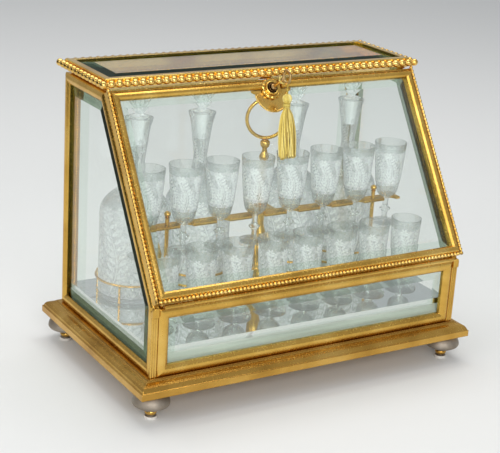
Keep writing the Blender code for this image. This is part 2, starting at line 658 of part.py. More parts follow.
def side(name, sign):
    """A glazed side: its frame with the reeded corner, and its bevelled pane."""
    def place(point, height):
        return (sign * (SIDE_INNER_X + height), point[0], point[1])

    outline = [(CASE_FRONT_Y, CASE_BOTTOM), (CASE_BACK_Y, CASE_BOTTOM), (CASE_BACK_Y, CASE_TOP),
               (SEAT_TOP_Y, CASE_TOP), (CASE_FRONT_Y, SEAT_FOOT_Z)]
    section = member_section(SIDE_MEMBER_WIDTH, SIDE_MEMBER_THICKNESS)
    frame = plain_object("side_frame_" + name, mitred_frame("side_frame_" + name, outline, section, place), GILT)
    pane = stepped_slab("side_glass_" + name, inset(outline, REBATE_WIDTH + GAP),
                        pane_in(SIDE_MEMBER_THICKNESS), place)
    plain_object("side_glass_" + name, pane, PLATE_GLASS)

    reed_top = CASE_BOTTOM + REED_HEIGHT
    near = sign * (SIDE_INNER_X + GAP)
    far = sign * (SIDE_OUTER_X - GAP)
    backing = block("corner_backing_" + name,
                    (min(near, far), CASE_FRONT_Y - WELD_LAP, CASE_BOTTOM + GAP),
                    (max(near, far), CASE_FRONT_Y + REBATE_WIDTH / 2, SEAT_FOOT_Z - 2 * TONGUE_PROUD))
    combine(frame, backing, "UNION")
    pitch = SIDE_MEMBER_THICKNESS / REED_COUNT
    for index in range(REED_COUNT):
        x = sign * (SIDE_INNER_X + pitch * (index + 0.5))
        y = CASE_FRONT_Y - REED_PROUD + pitch / 2
        reed = rod(f"reed_{name}_{index}", (x, y, CASE_BOTTOM + GAP), (x, y, reed_top), pitch / 2 - GAP / 2)
        combine(frame, reed, "UNION")
    half = SIDE_MEMBER_THICKNESS / 2 - GAP
    root = (sign * (SIDE_INNER_X + SIDE_MEMBER_THICKNESS / 2),
            CASE_FRONT_Y + (WELD_LAP - TONGUE_PROUD) / 2, reed_top + GAP)
    outline = [(-half, 0), (half, 0), *arc((0, TONGUE_HEIGHT - half), half, 0, math.pi, ROUND_END_POINTS)]
    tongue = flat_plate("tongue_" + name, [outline], TONGUE_PROUD + WELD_LAP, GILT, location=root,
                        turn=(math.pi / 2, 0, 0))
    combine(frame, as_mesh(tongue), "UNION")


def knuckle(name, start, end, radius, parent=None, location=(0, 0, 0), tab=0.0, tab_turn=0.0):
    """A bored knuckle along X between two places, with a tab that ties it to what it belongs to."""
    if tab:
        spread = math.asin(LEAF_THICKNESS / 2 / radius)
        outline = [(tab, -LEAF_THICKNESS / 2), (tab, LEAF_THICKNESS / 2)]
        outline += arc((0, 0), radius, spread, 2 * math.pi - spread, KNUCKLE_SEGMENTS)
    else:
        outline = ring_points((0, 0), radius, KNUCKLE_SEGMENTS)
    bore = ring_points((0, 0), KNUCKLE_BORE, KNUCKLE_SEGMENTS - 2)
    turn = math.cos(tab_turn), math.sin(tab_turn)
    outline = [(x * turn[0] - y * turn[1], x * turn[1] + y * turn[0]) for x, y in outline]
    place = Vector(location) + Vector(((start + end) / 2, 0, 0))
    made = flat_plate(name, [outline, bore], end - start, GILT, parent, place, ALONG_X)
    return as_mesh(made)


def hinge_rail():
    """The fixed leaf: a flat rail on the low front, with a knuckle at each end and the pin."""
    axis_y = DOOR_AXIS.y
    back = CASE_FRONT_Y - LOW_MEMBER_PROUD + LOW_MEMBER_THICKNESS
    clear = axis_y + KNUCKLE_RADIUS + KNUCKLE_GAP
    ear = axis_y + KNUCKLE_BORE + WELD_LAP / 2
    inner = KNUCKLE_SPAN / 2
    outer = HINGE_SPAN / 2
    outline = [(-outer, back), (-outer, ear), (-inner, ear), (-inner, clear),
               (inner, clear), (inner, ear), (outer, ear), (outer, back)]
    plate = flat_plate("hinge_rail", [outline], HINGE_RAIL_THICKNESS, GILT,
                       location=(0, 0, RAIL_SEAT_Z + HINGE_RAIL_THICKNESS / 2))
    rail = as_mesh(plate)
    for name, start, end in (("rail_knuckle_left", -outer, -inner), ("rail_knuckle_right", inner, outer)):
        combine(rail, knuckle(name, start, end, KNUCKLE_RADIUS, location=DOOR_AXIS), "UNION")
    pin(name="door_hinge_pin", axis=DOOR_AXIS)


def pin(name, axis):
    half = Vector((HINGE_SPAN / 2, 0, 0))
    rod(name, Vector(axis) - half, Vector(axis) + half, HINGE_PIN_RADIUS)


def back():
    """The back frame with its pane, the bead that holds the pane, and the fixed leaf of the lid's hinge."""
    def place(point, height):
        return (point[0], height, point[1])

    inner_face = (0, CASE_BACK_Y - BACK_MEMBER_THICKNESS, 0)
    outline = rectangle(INNER_HALF, CASE_BOTTOM, CASE_TOP)
    section = member_section(BACK_MEMBER_WIDTH, BACK_MEMBER_THICKNESS)
    frame = plain_object("back_frame", mitred_frame("back_frame", outline, section, place), GILT,
                         location=inner_face)
    pane = stepped_slab("back_glass", inset(outline, REBATE_WIDTH + GAP), pane_in(BACK_MEMBER_THICKNESS), place)
    plain_object("back_glass", pane, PLATE_GLASS, location=inner_face)
    strip = [(0, 0), (GLAZING_BEAD_WIDTH / 2, GLAZING_BEAD_DEPTH), (GLAZING_BEAD_WIDTH, 0)]
    strip = [(REBATE_WIDTH - GLAZING_BEAD_WIDTH / 2 + across, -GAP - height) for across, height in strip]
    bead = mitred_frame("back_glass_bead", outline, strip, place)
    plain_object("back_glass_bead", bead, GILT, location=inner_face)

    root = Vector((0, CASE_BACK_Y - MEMBER_ROUND_HEIGHT - WELD_LAP, CASE_TOP - MEMBER_ROUND_HEIGHT))
    reach = root - LID_AXIS
    turn = math.atan2(reach.z, reach.y)
    inner = KNUCKLE_SPAN / 2
    outer = HINGE_SPAN / 2
    for name, start, end in (("back_knuckle_left", -outer, -inner), ("back_knuckle_right", inner, outer)):
        end_knuckle = knuckle(name, start, end, LID_KNUCKLE_RADIUS, location=LID_AXIS,
                              tab=reach.length, tab_turn=turn)
        combine(frame, end_knuckle, "UNION")
    pin(name="lid_hinge_pin", axis=LID_AXIS)


def lid_path():
    """The line that the lid's beads follow, in the lid's own frame."""
    half = SIDE_OUTER_X + LID_OVERHANG
    front = SEAT_TOP_Y - LID_FRONT_OVERHANG - LID_AXIS.y
    behind = CASE_BACK_Y + LID_BACK_OVERHANG - LID_AXIS.y
    return rectangle(half, front, behind)


def lid():
    under = CASE_TOP + GAP - LID_AXIS.z
    path = lid_path()
    bead_z = under + LID_BEAD_HEIGHT
    ledge = bead_z - LID_BEAD_RADIUS * math.cos(math.pi / LID_BEAD_SIDES) - GAP
    wall = LID_BEAD_RADIUS + GAP
    top = under + LID_FRAME_HEIGHT
    shelf = top - LID_GLASS_THICKNESS - 2 * GAP
    rim = LID_GLASS_INSET - GAP
    cove = [(LID_COVE_WIDTH * across - LID_FILLET_PROUD, under + LID_COVE_HEIGHT * up)
            for across, up in LID_COVE_SHARES]
    section = [(LID_FRAME_WIDTH, under), (LID_FRAME_WIDTH, shelf), (rim, shelf), (rim, top),
               (wall + LID_RIM_CHAMFER, top), (wall, top - LID_RIM_CHAMFER), (wall, ledge),
               (-LID_FILLET_PROUD, ledge), *cove]
    frame = plain_object("lid_frame", mitred_frame("lid_frame", path, section), GILT, LID)
    lift = under + LID_COVE_HEIGHT + WELD_LAP
    middle = KNUCKLE_SPAN / 2 - KNUCKLE_GAP
    combine(frame, knuckle("lid_knuckle", -middle, middle, LID_KNUCKLE_RADIUS, parent=LID,
                           tab=lift, tab_turn=math.pi / 2), "UNION")
    front = path[0][1]
    half = BOLT_WIDTH / 2 + BOLT_CLEARANCE
    pocket = block("bolt_pocket", (-half, front + BOLT_POCKET_FRONT, under - CUT_OVERRUN),
                   (half, front + BOLT_POCKET_FRONT + BOLT_POCKET_REACH, under + BOLT_POCKET_DEPTH), LID)
    combine(frame, pocket, "DIFFERENCE")
    pane = stepped_slab("lid_glass", inset(path, LID_GLASS_INSET), pane_levels(shelf + GAP, LID_GLASS_THICKNESS))
    plain_object("lid_glass", pane, PLATE_GLASS, LID)
    plain_object("lid_beading", beading(path, bead_z), GILT, LID)


def beading(path, height):
    """A string of beads round the lid, drawn in between beads, with a bead on each corner."""
    rings = []
    for index, corner in enumerate(path):
        start = Vector(corner)
        span = Vector(path[(index + 1) % len(path)]) - start
        stations = 2 * round(span.length / LID_BEAD_PITCH)
        inward = Vector((-span.y, span.x)).normalized()
        for station in range(stations):
            radius = LID_BEAD_RADIUS * (LID_BEAD_NECK_SHARE if station % 2 else 1.0)
            across = mitres(path)[index] if station == 0 else inward
            middle = start + span * (station / stations)
            rings.append([flat_xy(middle + across * x, height + z)
                          for x, z in ring_points((0, 0), radius, LID_BEAD_SIDES)])
    return lofted("lid_beading", rings, ends="joined")


def door():
    """The slanted door: its frame with the leaf's long knuckle, its pane and the strip round its edge."""
    outline = rectangle(DOOR_HALF, DOOR_FOOT, DOOR_HEAD)
    low = DOOR_UNDER
    crest = DOOR_RAIL_HEIGHT - DOOR_LEDGE
    face = [(DOOR_WALL + (DOOR_RAIL_WIDTH - DOOR_WALL) * across, low + DOOR_LEDGE + crest * up)
            for across, up in DOOR_MOULDING_SHARES]
    section = [(0, low), (0, low + DOOR_LEDGE), (DOOR_WALL, low + DOOR_LEDGE), *face,
               (DOOR_RAIL_WIDTH, PLATE_UNDER), (DOOR_REBATE, PLATE_UNDER), (DOOR_REBATE, low)]
    frame = plain_object("door_frame", mitred_frame("door_frame", outline, section), GILT, DOOR)
    middle = KNUCKLE_SPAN / 2 - KNUCKLE_GAP
    combine(frame, knuckle("door_knuckle", -middle, middle, KNUCKLE_RADIUS, parent=DOOR,
                           tab=DOOR_FOOT + WELD_LAP), "UNION")
    lock_half = LOCK_HALF_WIDTH + GAP
    notch = block("lock_notch", (-lock_half, KEY_Y, low - CUT_OVERRUN),
                  (lock_half, DOOR_HEAD + CUT_OVERRUN, PLATE_UNDER), DOOR)
    combine(frame, notch, "DIFFERENCE")
    seat = rod("rosette_seat", (0, KEY_Y, PLATE_TOP), (0, KEY_Y, low + DOOR_RAIL_HEIGHT + CUT_OVERRUN),
               ROSETTE_RADIUS + GAP, 2 * ROSETTE_PETALS, DOOR)
    combine(frame, seat, "DIFFERENCE")
    keyway = rod("frame_keyway", (0, KEY_Y, low - CUT_OVERRUN), (0, KEY_Y, PLATE_TOP + CUT_OVERRUN),
                 KEYHOLE_RADIUS, KNUCKLE_SEGMENTS, DOOR)
    combine(frame, keyway, "DIFFERENCE")

    opening = inset(outline, DOOR_REBATE + GAP)
    pane_low = DOOR_UNDER + GAP
    pane = plain_object("door_glass", stepped_slab("door_glass", opening, pane_levels(pane_low, GLASS_THICKNESS)),
                        PLATE_GLASS, DOOR)
    gap_for_lock = block("lock_gap", (-lock_half, DOOR_HEAD - LOCK_DROP - GAP, pane_low - CUT_OVERRUN),
                         (lock_half, DOOR_HEAD, pane_low + GLASS_THICKNESS + CUT_OVERRUN), DOOR)
    combine(pane, gap_for_lock, "DIFFERENCE")

    side_x = DOOR_HALF - DOOR_BEAD_INSET
    foot = DOOR_FOOT + DOOR_BEAD_INSET
    height = DOOR_UNDER + DOOR_BEAD_HEIGHT
    line = [(-side_x, DOOR_HEAD, height), (-side_x, foot, height), (side_x, foot, height),
            (side_x, DOOR_HEAD, height)]
    tube("door_beading", line, DOOR_BEAD_RADIUS, GILT, parent=DOOR)


def lock():
    """The plate, the rosette, the case let into the glass and the bolt that slides up into the lid."""
    top = -(DOOR_RAIL_WIDTH + GAP)
    half = ESCUTCHEON_WIDTH / 2
    apron = ESCUTCHEON_APRON_RADIUS
    apron_y = apron - ESCUTCHEON_DROP
    hole_turn = math.asin((top + KEY_DROP) / KEYHOLE_RADIUS)
    ear, neck = (top + (apron_y - top) * share for share in ESCUTCHEON_EAR_SHARES)
    outline = arc((0, apron_y), apron, math.pi, 2 * math.pi, ESCUTCHEON_SEGMENTS)
    outline += [(apron, neck), (half, ear), (half, top)]
    outline += arc((0, -KEY_DROP), KEYHOLE_RADIUS, hole_turn, -math.pi - hole_turn, KEYHOLE_ARC_POINTS)
    outline += [(-half, top), (-half, ear), (-apron, neck)]
    flat_plate("escutcheon", [outline], ESCUTCHEON_THICKNESS, GILT, DOOR,
               (0, DOOR_HEAD, PLATE_UNDER + ESCUTCHEON_THICKNESS / 2))

    rings = []
    for across, up in ROSETTE_SHARES:
        rings.append(petal_ring(ROSETTE_RADIUS * across, ROSETTE_HEIGHT * up, across > ROSETTE_SHARES[3][0]))
    rings.append(petal_ring(KEYHOLE_RADIUS, ROSETTE_HEIGHT * ROSETTE_SHARES[-1][1], False))
    rings.append(petal_ring(KEYHOLE_RADIUS, 0, False))
    plain_object("rosette", lofted("rosette", rings, ends="joined"), GILT, DOOR, (0, KEY_Y, PLATE_TOP + GAP))

    low = DOOR_UNDER + GAP
    high = low + GLASS_THICKNESS
    case = block("lock_case", (-LOCK_HALF_WIDTH, DOOR_HEAD - LOCK_DROP, low), (LOCK_HALF_WIDTH, DOOR_HEAD, high),
                 DOOR)
    channel_half = BOLT_WIDTH / 2 + GAP
    channel_foot = DOOR_HEAD - BOLT_SETBACK - BOLT_LENGTH - GAP
    channel = block("bolt_channel", (-channel_half, channel_foot, low + LOCK_WALL),
                    (channel_half, DOOR_HEAD + CUT_OVERRUN, high - LOCK_WALL), DOOR)
    combine(case, channel, "DIFFERENCE")
    chamber = rod("key_chamber", (0, KEY_Y, low + LOCK_WALL), (0, KEY_Y, high - LOCK_WALL),
                  LOCK_CHAMBER_RADIUS, 2 * KNUCKLE_SEGMENTS, DOOR)
    combine(case, chamber, "DIFFERENCE")
    keyhole = rod("case_keyhole", (0, KEY_Y, (low + high) / 2), (0, KEY_Y, high + CUT_OVERRUN),
                  KEYHOLE_RADIUS, KNUCKLE_SEGMENTS, DOOR)
    combine(case, keyhole, "DIFFERENCE")
    middle = (low + high) / 2
    bolt = block("lock_bolt", (-BOLT_WIDTH / 2, -BOLT_LENGTH / 2, middle - BOLT_THICKNESS / 2),
                 (BOLT_WIDTH / 2, BOLT_LENGTH / 2, middle + BOLT_THICKNESS / 2), BOLT)
    bolt.data.materials[0] = STEEL


def petal_ring(radius, height, scalloped):
    ring = ring_points((0, 0), radius, 2 * ROSETTE_PETALS)
    if scalloped:
        ring = [(x * share, y * share) for (x, y), share
                in zip(ring, (1.0, ROSETTE_SCALLOP_SHARE) * ROSETTE_PETALS)]
    return [flat_xy(point, height) for point in ring]


def ring_object(name, major, minor, major_segments, minor_segments, location, turn, finish, parent=None):
    """A torus from Blender's own primitive, moved to the parts."""
    bpy.ops.mesh.primitive_torus_add(major_segments=major_segments, minor_segments=minor_segments,
                                     major_radius=major, minor_radius=minor)
    made = bpy.context.active_object
    for owner in list(made.users_collection):
        owner.objects.unlink(made)
    made.name = name
    made.rotation_euler = turn
    made.data.shade_smooth()
    return placed(made, finish, parent, location)


def key():
    """The key stands in the lock: bit and shank inside, collar and bow outside."""
    plane = DOOR_UNDER + DOOR_BEAD_HEIGHT
    inner_end = DOOR_UNDER + GAP + LOCK_WALL + GAP - plane
    collar = PLATE_TOP + GAP + ROSETTE_HEIGHT + GAP - plane
    bow_start = KEY_BOW_OUT - KEY_BOW_RADIUS
    profile = [(0, bow_start), (KEY_SHANK_RADIUS, bow_start), (KEY_SHANK_RADIUS, collar + KEY_COLLAR_LENGTH),
               (KEY_COLLAR_RADIUS, collar + KEY_COLLAR_LENGTH * 3 / 4),
               (KEY_COLLAR_RADIUS, collar + KEY_COLLAR_LENGTH / 4), (KEY_SHANK_RADIUS, collar),
               (KEY_SHANK_RADIUS, inner_end), (0, inner_end)]
    shank = turned("key", profile, KNUCKLE_SEGMENTS, STEEL, KEY)
    bow = ring_object("key_bow", KEY_BOW_RADIUS, KEY_BOW_TUBE, KEY_BOW_SEGMENTS, WIRE_SIDES, (0, 0, KEY_BOW_OUT),
                      (0, math.pi / 2, 0), STEEL, KEY)
    combine(shank, bow, "UNION")
    bit_low = inner_end + GAP
    bit = block("key_bit", (-KEY_BIT_WIDTH / 2, 0, bit_low),
                (KEY_BIT_WIDTH / 2, LOCK_CHAMBER_RADIUS - GAP, bit_low + KEY_BIT_LENGTH), KEY)
    combine(shank, bit, "UNION")
    loop = KEY_SHANK_RADIUS + CORD_RADIUS + 2 * GAP
    ring_object("tassel_loop", loop, CORD_RADIUS, CORD_LOOP_SEGMENTS, WIRE_SIDES,
                (0, KEY_Y, plane + CORD_LOOP_OUT), (0, 0, 0), SILK, DOOR)


def tassel():
    """The silk tassel falls from the loop, then leans back on the sloping glass."""
    tail_x = KEY_SHANK_RADIUS + 2 * CORD_RADIUS + 3 * GAP + TASSEL_TAIL_RADIUS
    head_x = KEY_BOW_TUBE + 2 * GAP + TASSEL_HEAD_RADIUS
    down = Vector((0, -math.sin(SLOPE), -math.cos(SLOPE)))
    start = Vector((tail_x, 0, 0))
    hang = down * TASSEL_DROP_LENGTH
    neck = Vector((head_x, hang.y, hang.z))
    glass_top = DOOR_UNDER + GAP + GLASS_THICKNESS
    rest = glass_top + TASSEL_REST_HEIGHT - TASSEL_AXIS_Z
    end = Vector((neck.x - TASSEL_SKIRT_LEAN, neck.y - TASSEL_SKIRT_LENGTH, rest))
    head_share = TASSEL_TAIL_LENGTH / TASSEL_DROP_LENGTH
    rest_share = 1 - head_share
    cord = TASSEL_TAIL_RADIUS
    head = TASSEL_HEAD_RADIUS
    slim = TASSEL_NECK_RADIUS
    upper = [(0, cord), (head_share, cord)]
    upper += [(head_share + along * rest_share, across * head) for across, along in TASSEL_HEAD_SHARES]
    upper += [(head_share + TASSEL_NECK_SHARE * rest_share, slim), (1.0, slim)]
    rings = [tassel_ring(start.lerp(neck, share), down, radius, radius) for share, radius in upper]
    along = (end - neck).normalized()
    for share, wide in TASSEL_SKIRT_SHARES:
        half = TASSEL_SKIRT_WIDTH / 2 * wide
        rings.append(tassel_ring(neck.lerp(end, share), along, half, half * TASSEL_FLAT_SHARE))
    plain_object("tassel", lofted("tassel", rings), SILK, TASSEL)


def tassel_ring(middle, along, half_width, half_thickness):
    across = Vector((1, 0, 0))
    out = across.cross(along).normalized()
    return [middle + across * x * half_width + out * y * half_thickness
            for x, y in ring_points((0, 0), 1, TASSEL_SIDES)]


def column_and_ring():
    profile = [(0, COLUMN_HEIGHT), *scaled(COLUMN_SHARES, COLUMN_RADIUS, COLUMN_HEIGHT), (0, 0)]
    turned("centre_column", profile, COLUMN_SEGMENTS, GILT, location=(0, COLUMN_Y, STAND_Z))
    ring_z = STAND_Z + COLUMN_HEIGHT + GAP + RING_TUBE + RING_RADIUS
    ring_object("ring_handle", RING_RADIUS, RING_TUBE, RING_SEGMENTS, WIRE_SIDES, (0, COLUMN_Y, ring_z),
                (math.pi / 2, 0, RING_TURN), GILT)


def glass_places(y, z):
    return [((index - (GLASS_COUNT - 1) / 2) * GLASS_PITCH, y, z) for index in range(GLASS_COUNT)]


def glass_rail():
    """The scalloped rail that holds the tall glasses by their necks, on its two posts."""
    front = TALL_GLASS_Y - RAIL_FRONT_REACH
    back = TALL_GLASS_Y + RAIL_BACK_REACH
    half = RAIL_LENGTH / 2
    notch = RAIL_NOTCH_RADIUS
    scallop = RAIL_SCALLOP_RADIUS
    meet = math.acos(notch / scallop)
    outline = [(-half, back), (-half, front)]
    for x, y, _ in glass_places(TALL_GLASS_Y, 0):
        outline += arc((x, front), scallop, math.pi, math.pi - meet, SCALLOP_POINTS)
        outline += arc((x, y), notch, math.pi, 0, NOTCH_POINTS)
        outline += arc((x, front), scallop, meet, 0, SCALLOP_POINTS)
    outline += [(half, front), (half, back)]
    tab = RAIL_TAB_RADIUS
    outline += [(tab, back), *arc((0, COLUMN_Y), tab, 0, math.pi, ROUND_END_POINTS), (-tab, back)]
    waist = COLUMN_RADIUS * COLUMN_SHARES[8][0]
    hole = ring_points((0, COLUMN_Y), waist + 2 * GAP, COLUMN_SEGMENTS)
    plate = flat_plate("glass_rail", [outline, hole], RAIL_THICKNESS, GILT,
                       location=(0, 0, RAIL_Z + RAIL_THICKNESS / 2))
    rail = as_mesh(plate)
    top = RAIL_HEIGHT + POST_ABOVE_RAIL
    profile = [(0, top)]
    profile += [(POST_FINIAL_RADIUS * across, top - POST_FINIAL_RADIUS * down) for across, down in FINIAL_SHARES]
    profile += [(POST_RADIUS, top - POST_FINIAL_RADIUS - POST_FINIAL_RADIUS), (POST_RADIUS, 0), (0, 0)]
    mesh = turned_profile("rail_post", profile)
    for name, x in (("left", -POST_PITCHES * GLASS_PITCH), ("right", POST_PITCHES * GLASS_PITCH)):
        post = turned("rail_post_" + name, None, POST_SEGMENTS, GILT, location=(x, TALL_GLASS_Y - POST_FORWARD, STAND_Z),
                      mesh=mesh)
        combine(rail, post, "UNION")


def gallery():
    """A hoop round each decanter, joined in pairs and across the middle, standing on short legs."""
    radius = DECANTER_RADIUS + GALLERY_TUBE + GALLERY_CLEARANCE
    z = STAND_Z + GALLERY_HEIGHT
    gallery_rail = None
    leg_places = []
    for name, inner_x, outer_x in (("left", DECANTER_XS[1], DECANTER_XS[0]),
                                   ("right", DECANTER_XS[2], DECANTER_XS[3])):
        sign = math.copysign(1, outer_x)
        meet = math.acos(abs(outer_x - inner_x) / 2 / radius)
        outer = arc((0, 0), radius, meet - math.pi, math.pi - meet, GALLERY_ARC_POINTS)
        inner = arc((0, 0), radius, meet, 2 * math.pi - meet, GALLERY_ARC_POINTS)[1:-1]
        line = [(outer_x + sign * x, DECANTER_Y + y, z) for x, y in outer]
        line += [(inner_x + sign * x, DECANTER_Y + y, z) for x, y in inner]
        hoop = as_mesh(tube("decanter_gallery" if sign < 0 else "hoop_right", line, GALLERY_TUBE, GILT,
                            closed=True, sides=1))
        if gallery_rail is None:
            gallery_rail = hoop
        else:
            combine(gallery_rail, hoop, "UNION")
        reach = radius * math.cos(GALLERY_LEG_TURN)
        leg_places += [(outer_x + sign * reach, 1), (outer_x + sign * reach, -1),
                       (inner_x - sign * reach, 1), (inner_x - sign * reach, -1)]
    inner_end = DECANTER_XS[2] - radius
    bar = rod("gallery_bar", (-inner_end, DECANTER_Y, z), (inner_end, DECANTER_Y, z), GALLERY_TUBE)
    combine(gallery_rail, bar, "UNION")
    for index, (x, front_or_back) in enumerate(leg_places):
        y = DECANTER_Y + front_or_back * radius * math.sin(GALLERY_LEG_TURN)
        leg = rod(f"gallery_leg_{index}", (x, y, STAND_Z), (x, y, z), GALLERY_TUBE)
        combine(gallery_rail, leg, "UNION")


def glass_profile(rim, bowl, stem, foot, shoulder, neck, bowl_shares, stem_shares):
    """From the bowl's floor up its inside, over the rim and down the outside to the foot."""
    outer = scaled(bowl_shares, rim, bowl, stem)
    inner = [(radius - GLASS_WALL, height + GLASS_WALL) for radius, height in outer[:-1]]
    inner.append((rim - GLASS_WALL, stem + bowl))
    lower = [(shoulder, stem), (neck, stem), *scaled(stem_shares, neck, stem)]
    return [(0, stem + 2 * GLASS_WALL), *inner, *reversed(outer), *lower,
            (foot, GLASS_FOOT_EDGE), (foot, 0), (0, 0)]


def glasses():
    tall = turned_profile("tall_glass", glass_profile(
        TALL_GLASS_RIM_RADIUS, TALL_GLASS_BOWL_HEIGHT, TALL_GLASS_STEM_HEIGHT, TALL_GLASS_FOOT_RADIUS,
        TALL_GLASS_SHOULDER_RADIUS, TALL_GLASS_NECK_RADIUS, TALL_BOWL_SHARES, TALL_STEM_SHARES))
    hung = TALL_GLASS_BOWL_Z - TALL_GLASS_STEM_HEIGHT
    for index, place in enumerate(glass_places(TALL_GLASS_Y, hung)):
        turned(f"tall_glass_{index + 1}", None, GLASS_SEGMENTS, CRYSTAL, location=place, mesh=tall)
    low = turned_profile("low_glass", glass_profile(
        LOW_GLASS_RIM_RADIUS, LOW_GLASS_BOWL_HEIGHT, LOW_GLASS_STEM_HEIGHT, LOW_GLASS_FOOT_RADIUS,
        LOW_GLASS_SHOULDER_RADIUS, LOW_GLASS_NECK_RADIUS, LOW_BOWL_SHARES, LOW_STEM_SHARES))
    for index, place in enumerate(glass_places(LOW_GLASS_Y, STAND_Z)):
        turned(f"low_glass_{index + 1}", None, GLASS_SEGMENTS, CRYSTAL, location=place, mesh=low)


def decanters():
    tall = DECANTER_HEIGHT
    body = DECANTER_RADIUS - DECANTER_WALL
    throat = DECANTER_THROAT_RADIUS
    socket_foot = tall - STOPPER_PLUG_LENGTH
    inner = [(throat + (body - throat) * across, tall * up) for across, up in DECANTER_INNER_SHARES]
    profile = [(0, DECANTER_BASE), *inner, (throat, socket_foot - STOPPER_SEAT),
               (DECANTER_SOCKET_RADIUS, socket_foot), (DECANTER_MOUTH_RADIUS, tall),
               *scaled(DECANTER_OUTER_SHARES, DECANTER_RADIUS, tall), (0, 0)]
    bottle = turned_profile("decanter", profile)
    plug = [(DECANTER_MOUTH_RADIUS - GAP, 0), (DECANTER_SOCKET_RADIUS - GAP, -STOPPER_PLUG_LENGTH),
            (0, -STOPPER_PLUG_LENGTH)]
    cap = turned_profile("stopper", scaled(STOPPER_SHARES, STOPPER_RADIUS, STOPPER_HEIGHT) + plug)
    for index, x in enumerate(DECANTER_XS):
        place = (x, DECANTER_Y, STAND_Z)
        turned(f"decanter_{index + 1}", None, DECANTER_SEGMENTS, CRYSTAL, location=place, mesh=bottle)
        seat = (x, DECANTER_Y, STAND_Z + tall + STOPPER_SEAT)
        turned(f"stopper_{index + 1}", None, STOPPER_SIDES, CRYSTAL, location=seat, mesh=cap)


plinth_and_feet()
floor()
low_front()
side("left", -1)
side("right", 1)
hinge_rail()
back()
lid()
door()
lock()
key()
tassel()
column_and_ring()
glass_rail()
gallery()
glasses()
decanters()
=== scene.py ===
"""The looks of a gilt-brass and bevelled-glass tantalus: its finishes, beads, crystal, silk and lighting."""
import json
import random
from math import acos, cos, pi, radians, sin, sqrt

import bmesh
import bpy
from mathutils import Matrix, Vector


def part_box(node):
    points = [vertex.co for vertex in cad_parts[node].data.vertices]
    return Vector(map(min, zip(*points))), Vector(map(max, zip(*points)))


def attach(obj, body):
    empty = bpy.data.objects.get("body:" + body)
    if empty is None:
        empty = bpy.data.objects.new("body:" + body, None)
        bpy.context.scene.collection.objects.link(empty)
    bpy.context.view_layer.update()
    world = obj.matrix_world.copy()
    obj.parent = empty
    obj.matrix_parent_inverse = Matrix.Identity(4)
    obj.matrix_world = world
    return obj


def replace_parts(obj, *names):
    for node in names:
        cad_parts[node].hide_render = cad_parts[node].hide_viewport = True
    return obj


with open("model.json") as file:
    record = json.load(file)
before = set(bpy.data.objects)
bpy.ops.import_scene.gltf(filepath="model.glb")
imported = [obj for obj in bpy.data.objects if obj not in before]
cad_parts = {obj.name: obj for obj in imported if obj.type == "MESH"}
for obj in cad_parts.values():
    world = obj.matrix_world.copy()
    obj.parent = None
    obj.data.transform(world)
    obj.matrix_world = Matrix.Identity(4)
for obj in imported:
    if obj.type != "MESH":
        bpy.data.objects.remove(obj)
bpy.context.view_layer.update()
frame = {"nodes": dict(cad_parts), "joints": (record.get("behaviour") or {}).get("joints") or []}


# Gilt mouldings of the case, the lid and the door.
# Cast and drawn brass, mitred and soldered at the corners, fire-gilt and then rubbed: bright on the
# rounds, and painted brown in the quirks with dust specks and painted shade from ambient occlusion.
def new_material(name):
    made = bpy.data.materials.new(name)
    made.use_nodes = True
    return made, made.node_tree, made.node_tree.nodes["Principled BSDF"]


def fill(tree, node, **settings):
    """Gives each named socket of a node its number, its colour or another node's output."""
    for name, value in settings.items():
        socket = node.inputs[name.replace("_", " ")]
        if isinstance(value, bpy.types.NodeSocket):
            tree.links.new(value, socket)
        else:
            socket.default_value = (*value, 1) if socket.type == "RGBA" else value
    return node


def new_node(tree, kind, **settings):
    """A shader node of a kind, such as TexNoise, with its sockets filled."""
    return fill(tree, tree.nodes.new("ShaderNode" + kind), **settings)


def noise(tree, scale, detail=3.0, distortion=0.0):
    place = new_node(tree, "TexCoord").outputs["Object"]
    texture = new_node(tree, "TexNoise", Vector=place, Scale=scale, Detail=detail, Distortion=distortion)
    return texture.outputs["Fac"]


def ramp(tree, source, stops):
    made = new_node(tree, "ValToRGB", Fac=source)
    first, last = made.color_ramp.elements
    first.position, first.color = stops[0][0], (*stops[0][1], 1)
    last.position, last.color = stops[-1][0], (*stops[-1][1], 1)
    for position, colour in stops[1:-1]:
        made.color_ramp.elements.new(position).color = (*colour, 1)
    return made.outputs["Color"]


def spread(tree, source, low, high):
    return new_node(tree, "MapRange", Value=source, To_Min=low, To_Max=high).outputs["Result"]


def blend_colour(tree, share, first, second, how="MIX"):
    made = tree.nodes.new("ShaderNodeMix")
    made.data_type = "RGBA"
    made.blend_type = how
    return fill(tree, made, Factor=share, A=first, B=second).outputs["Result"]


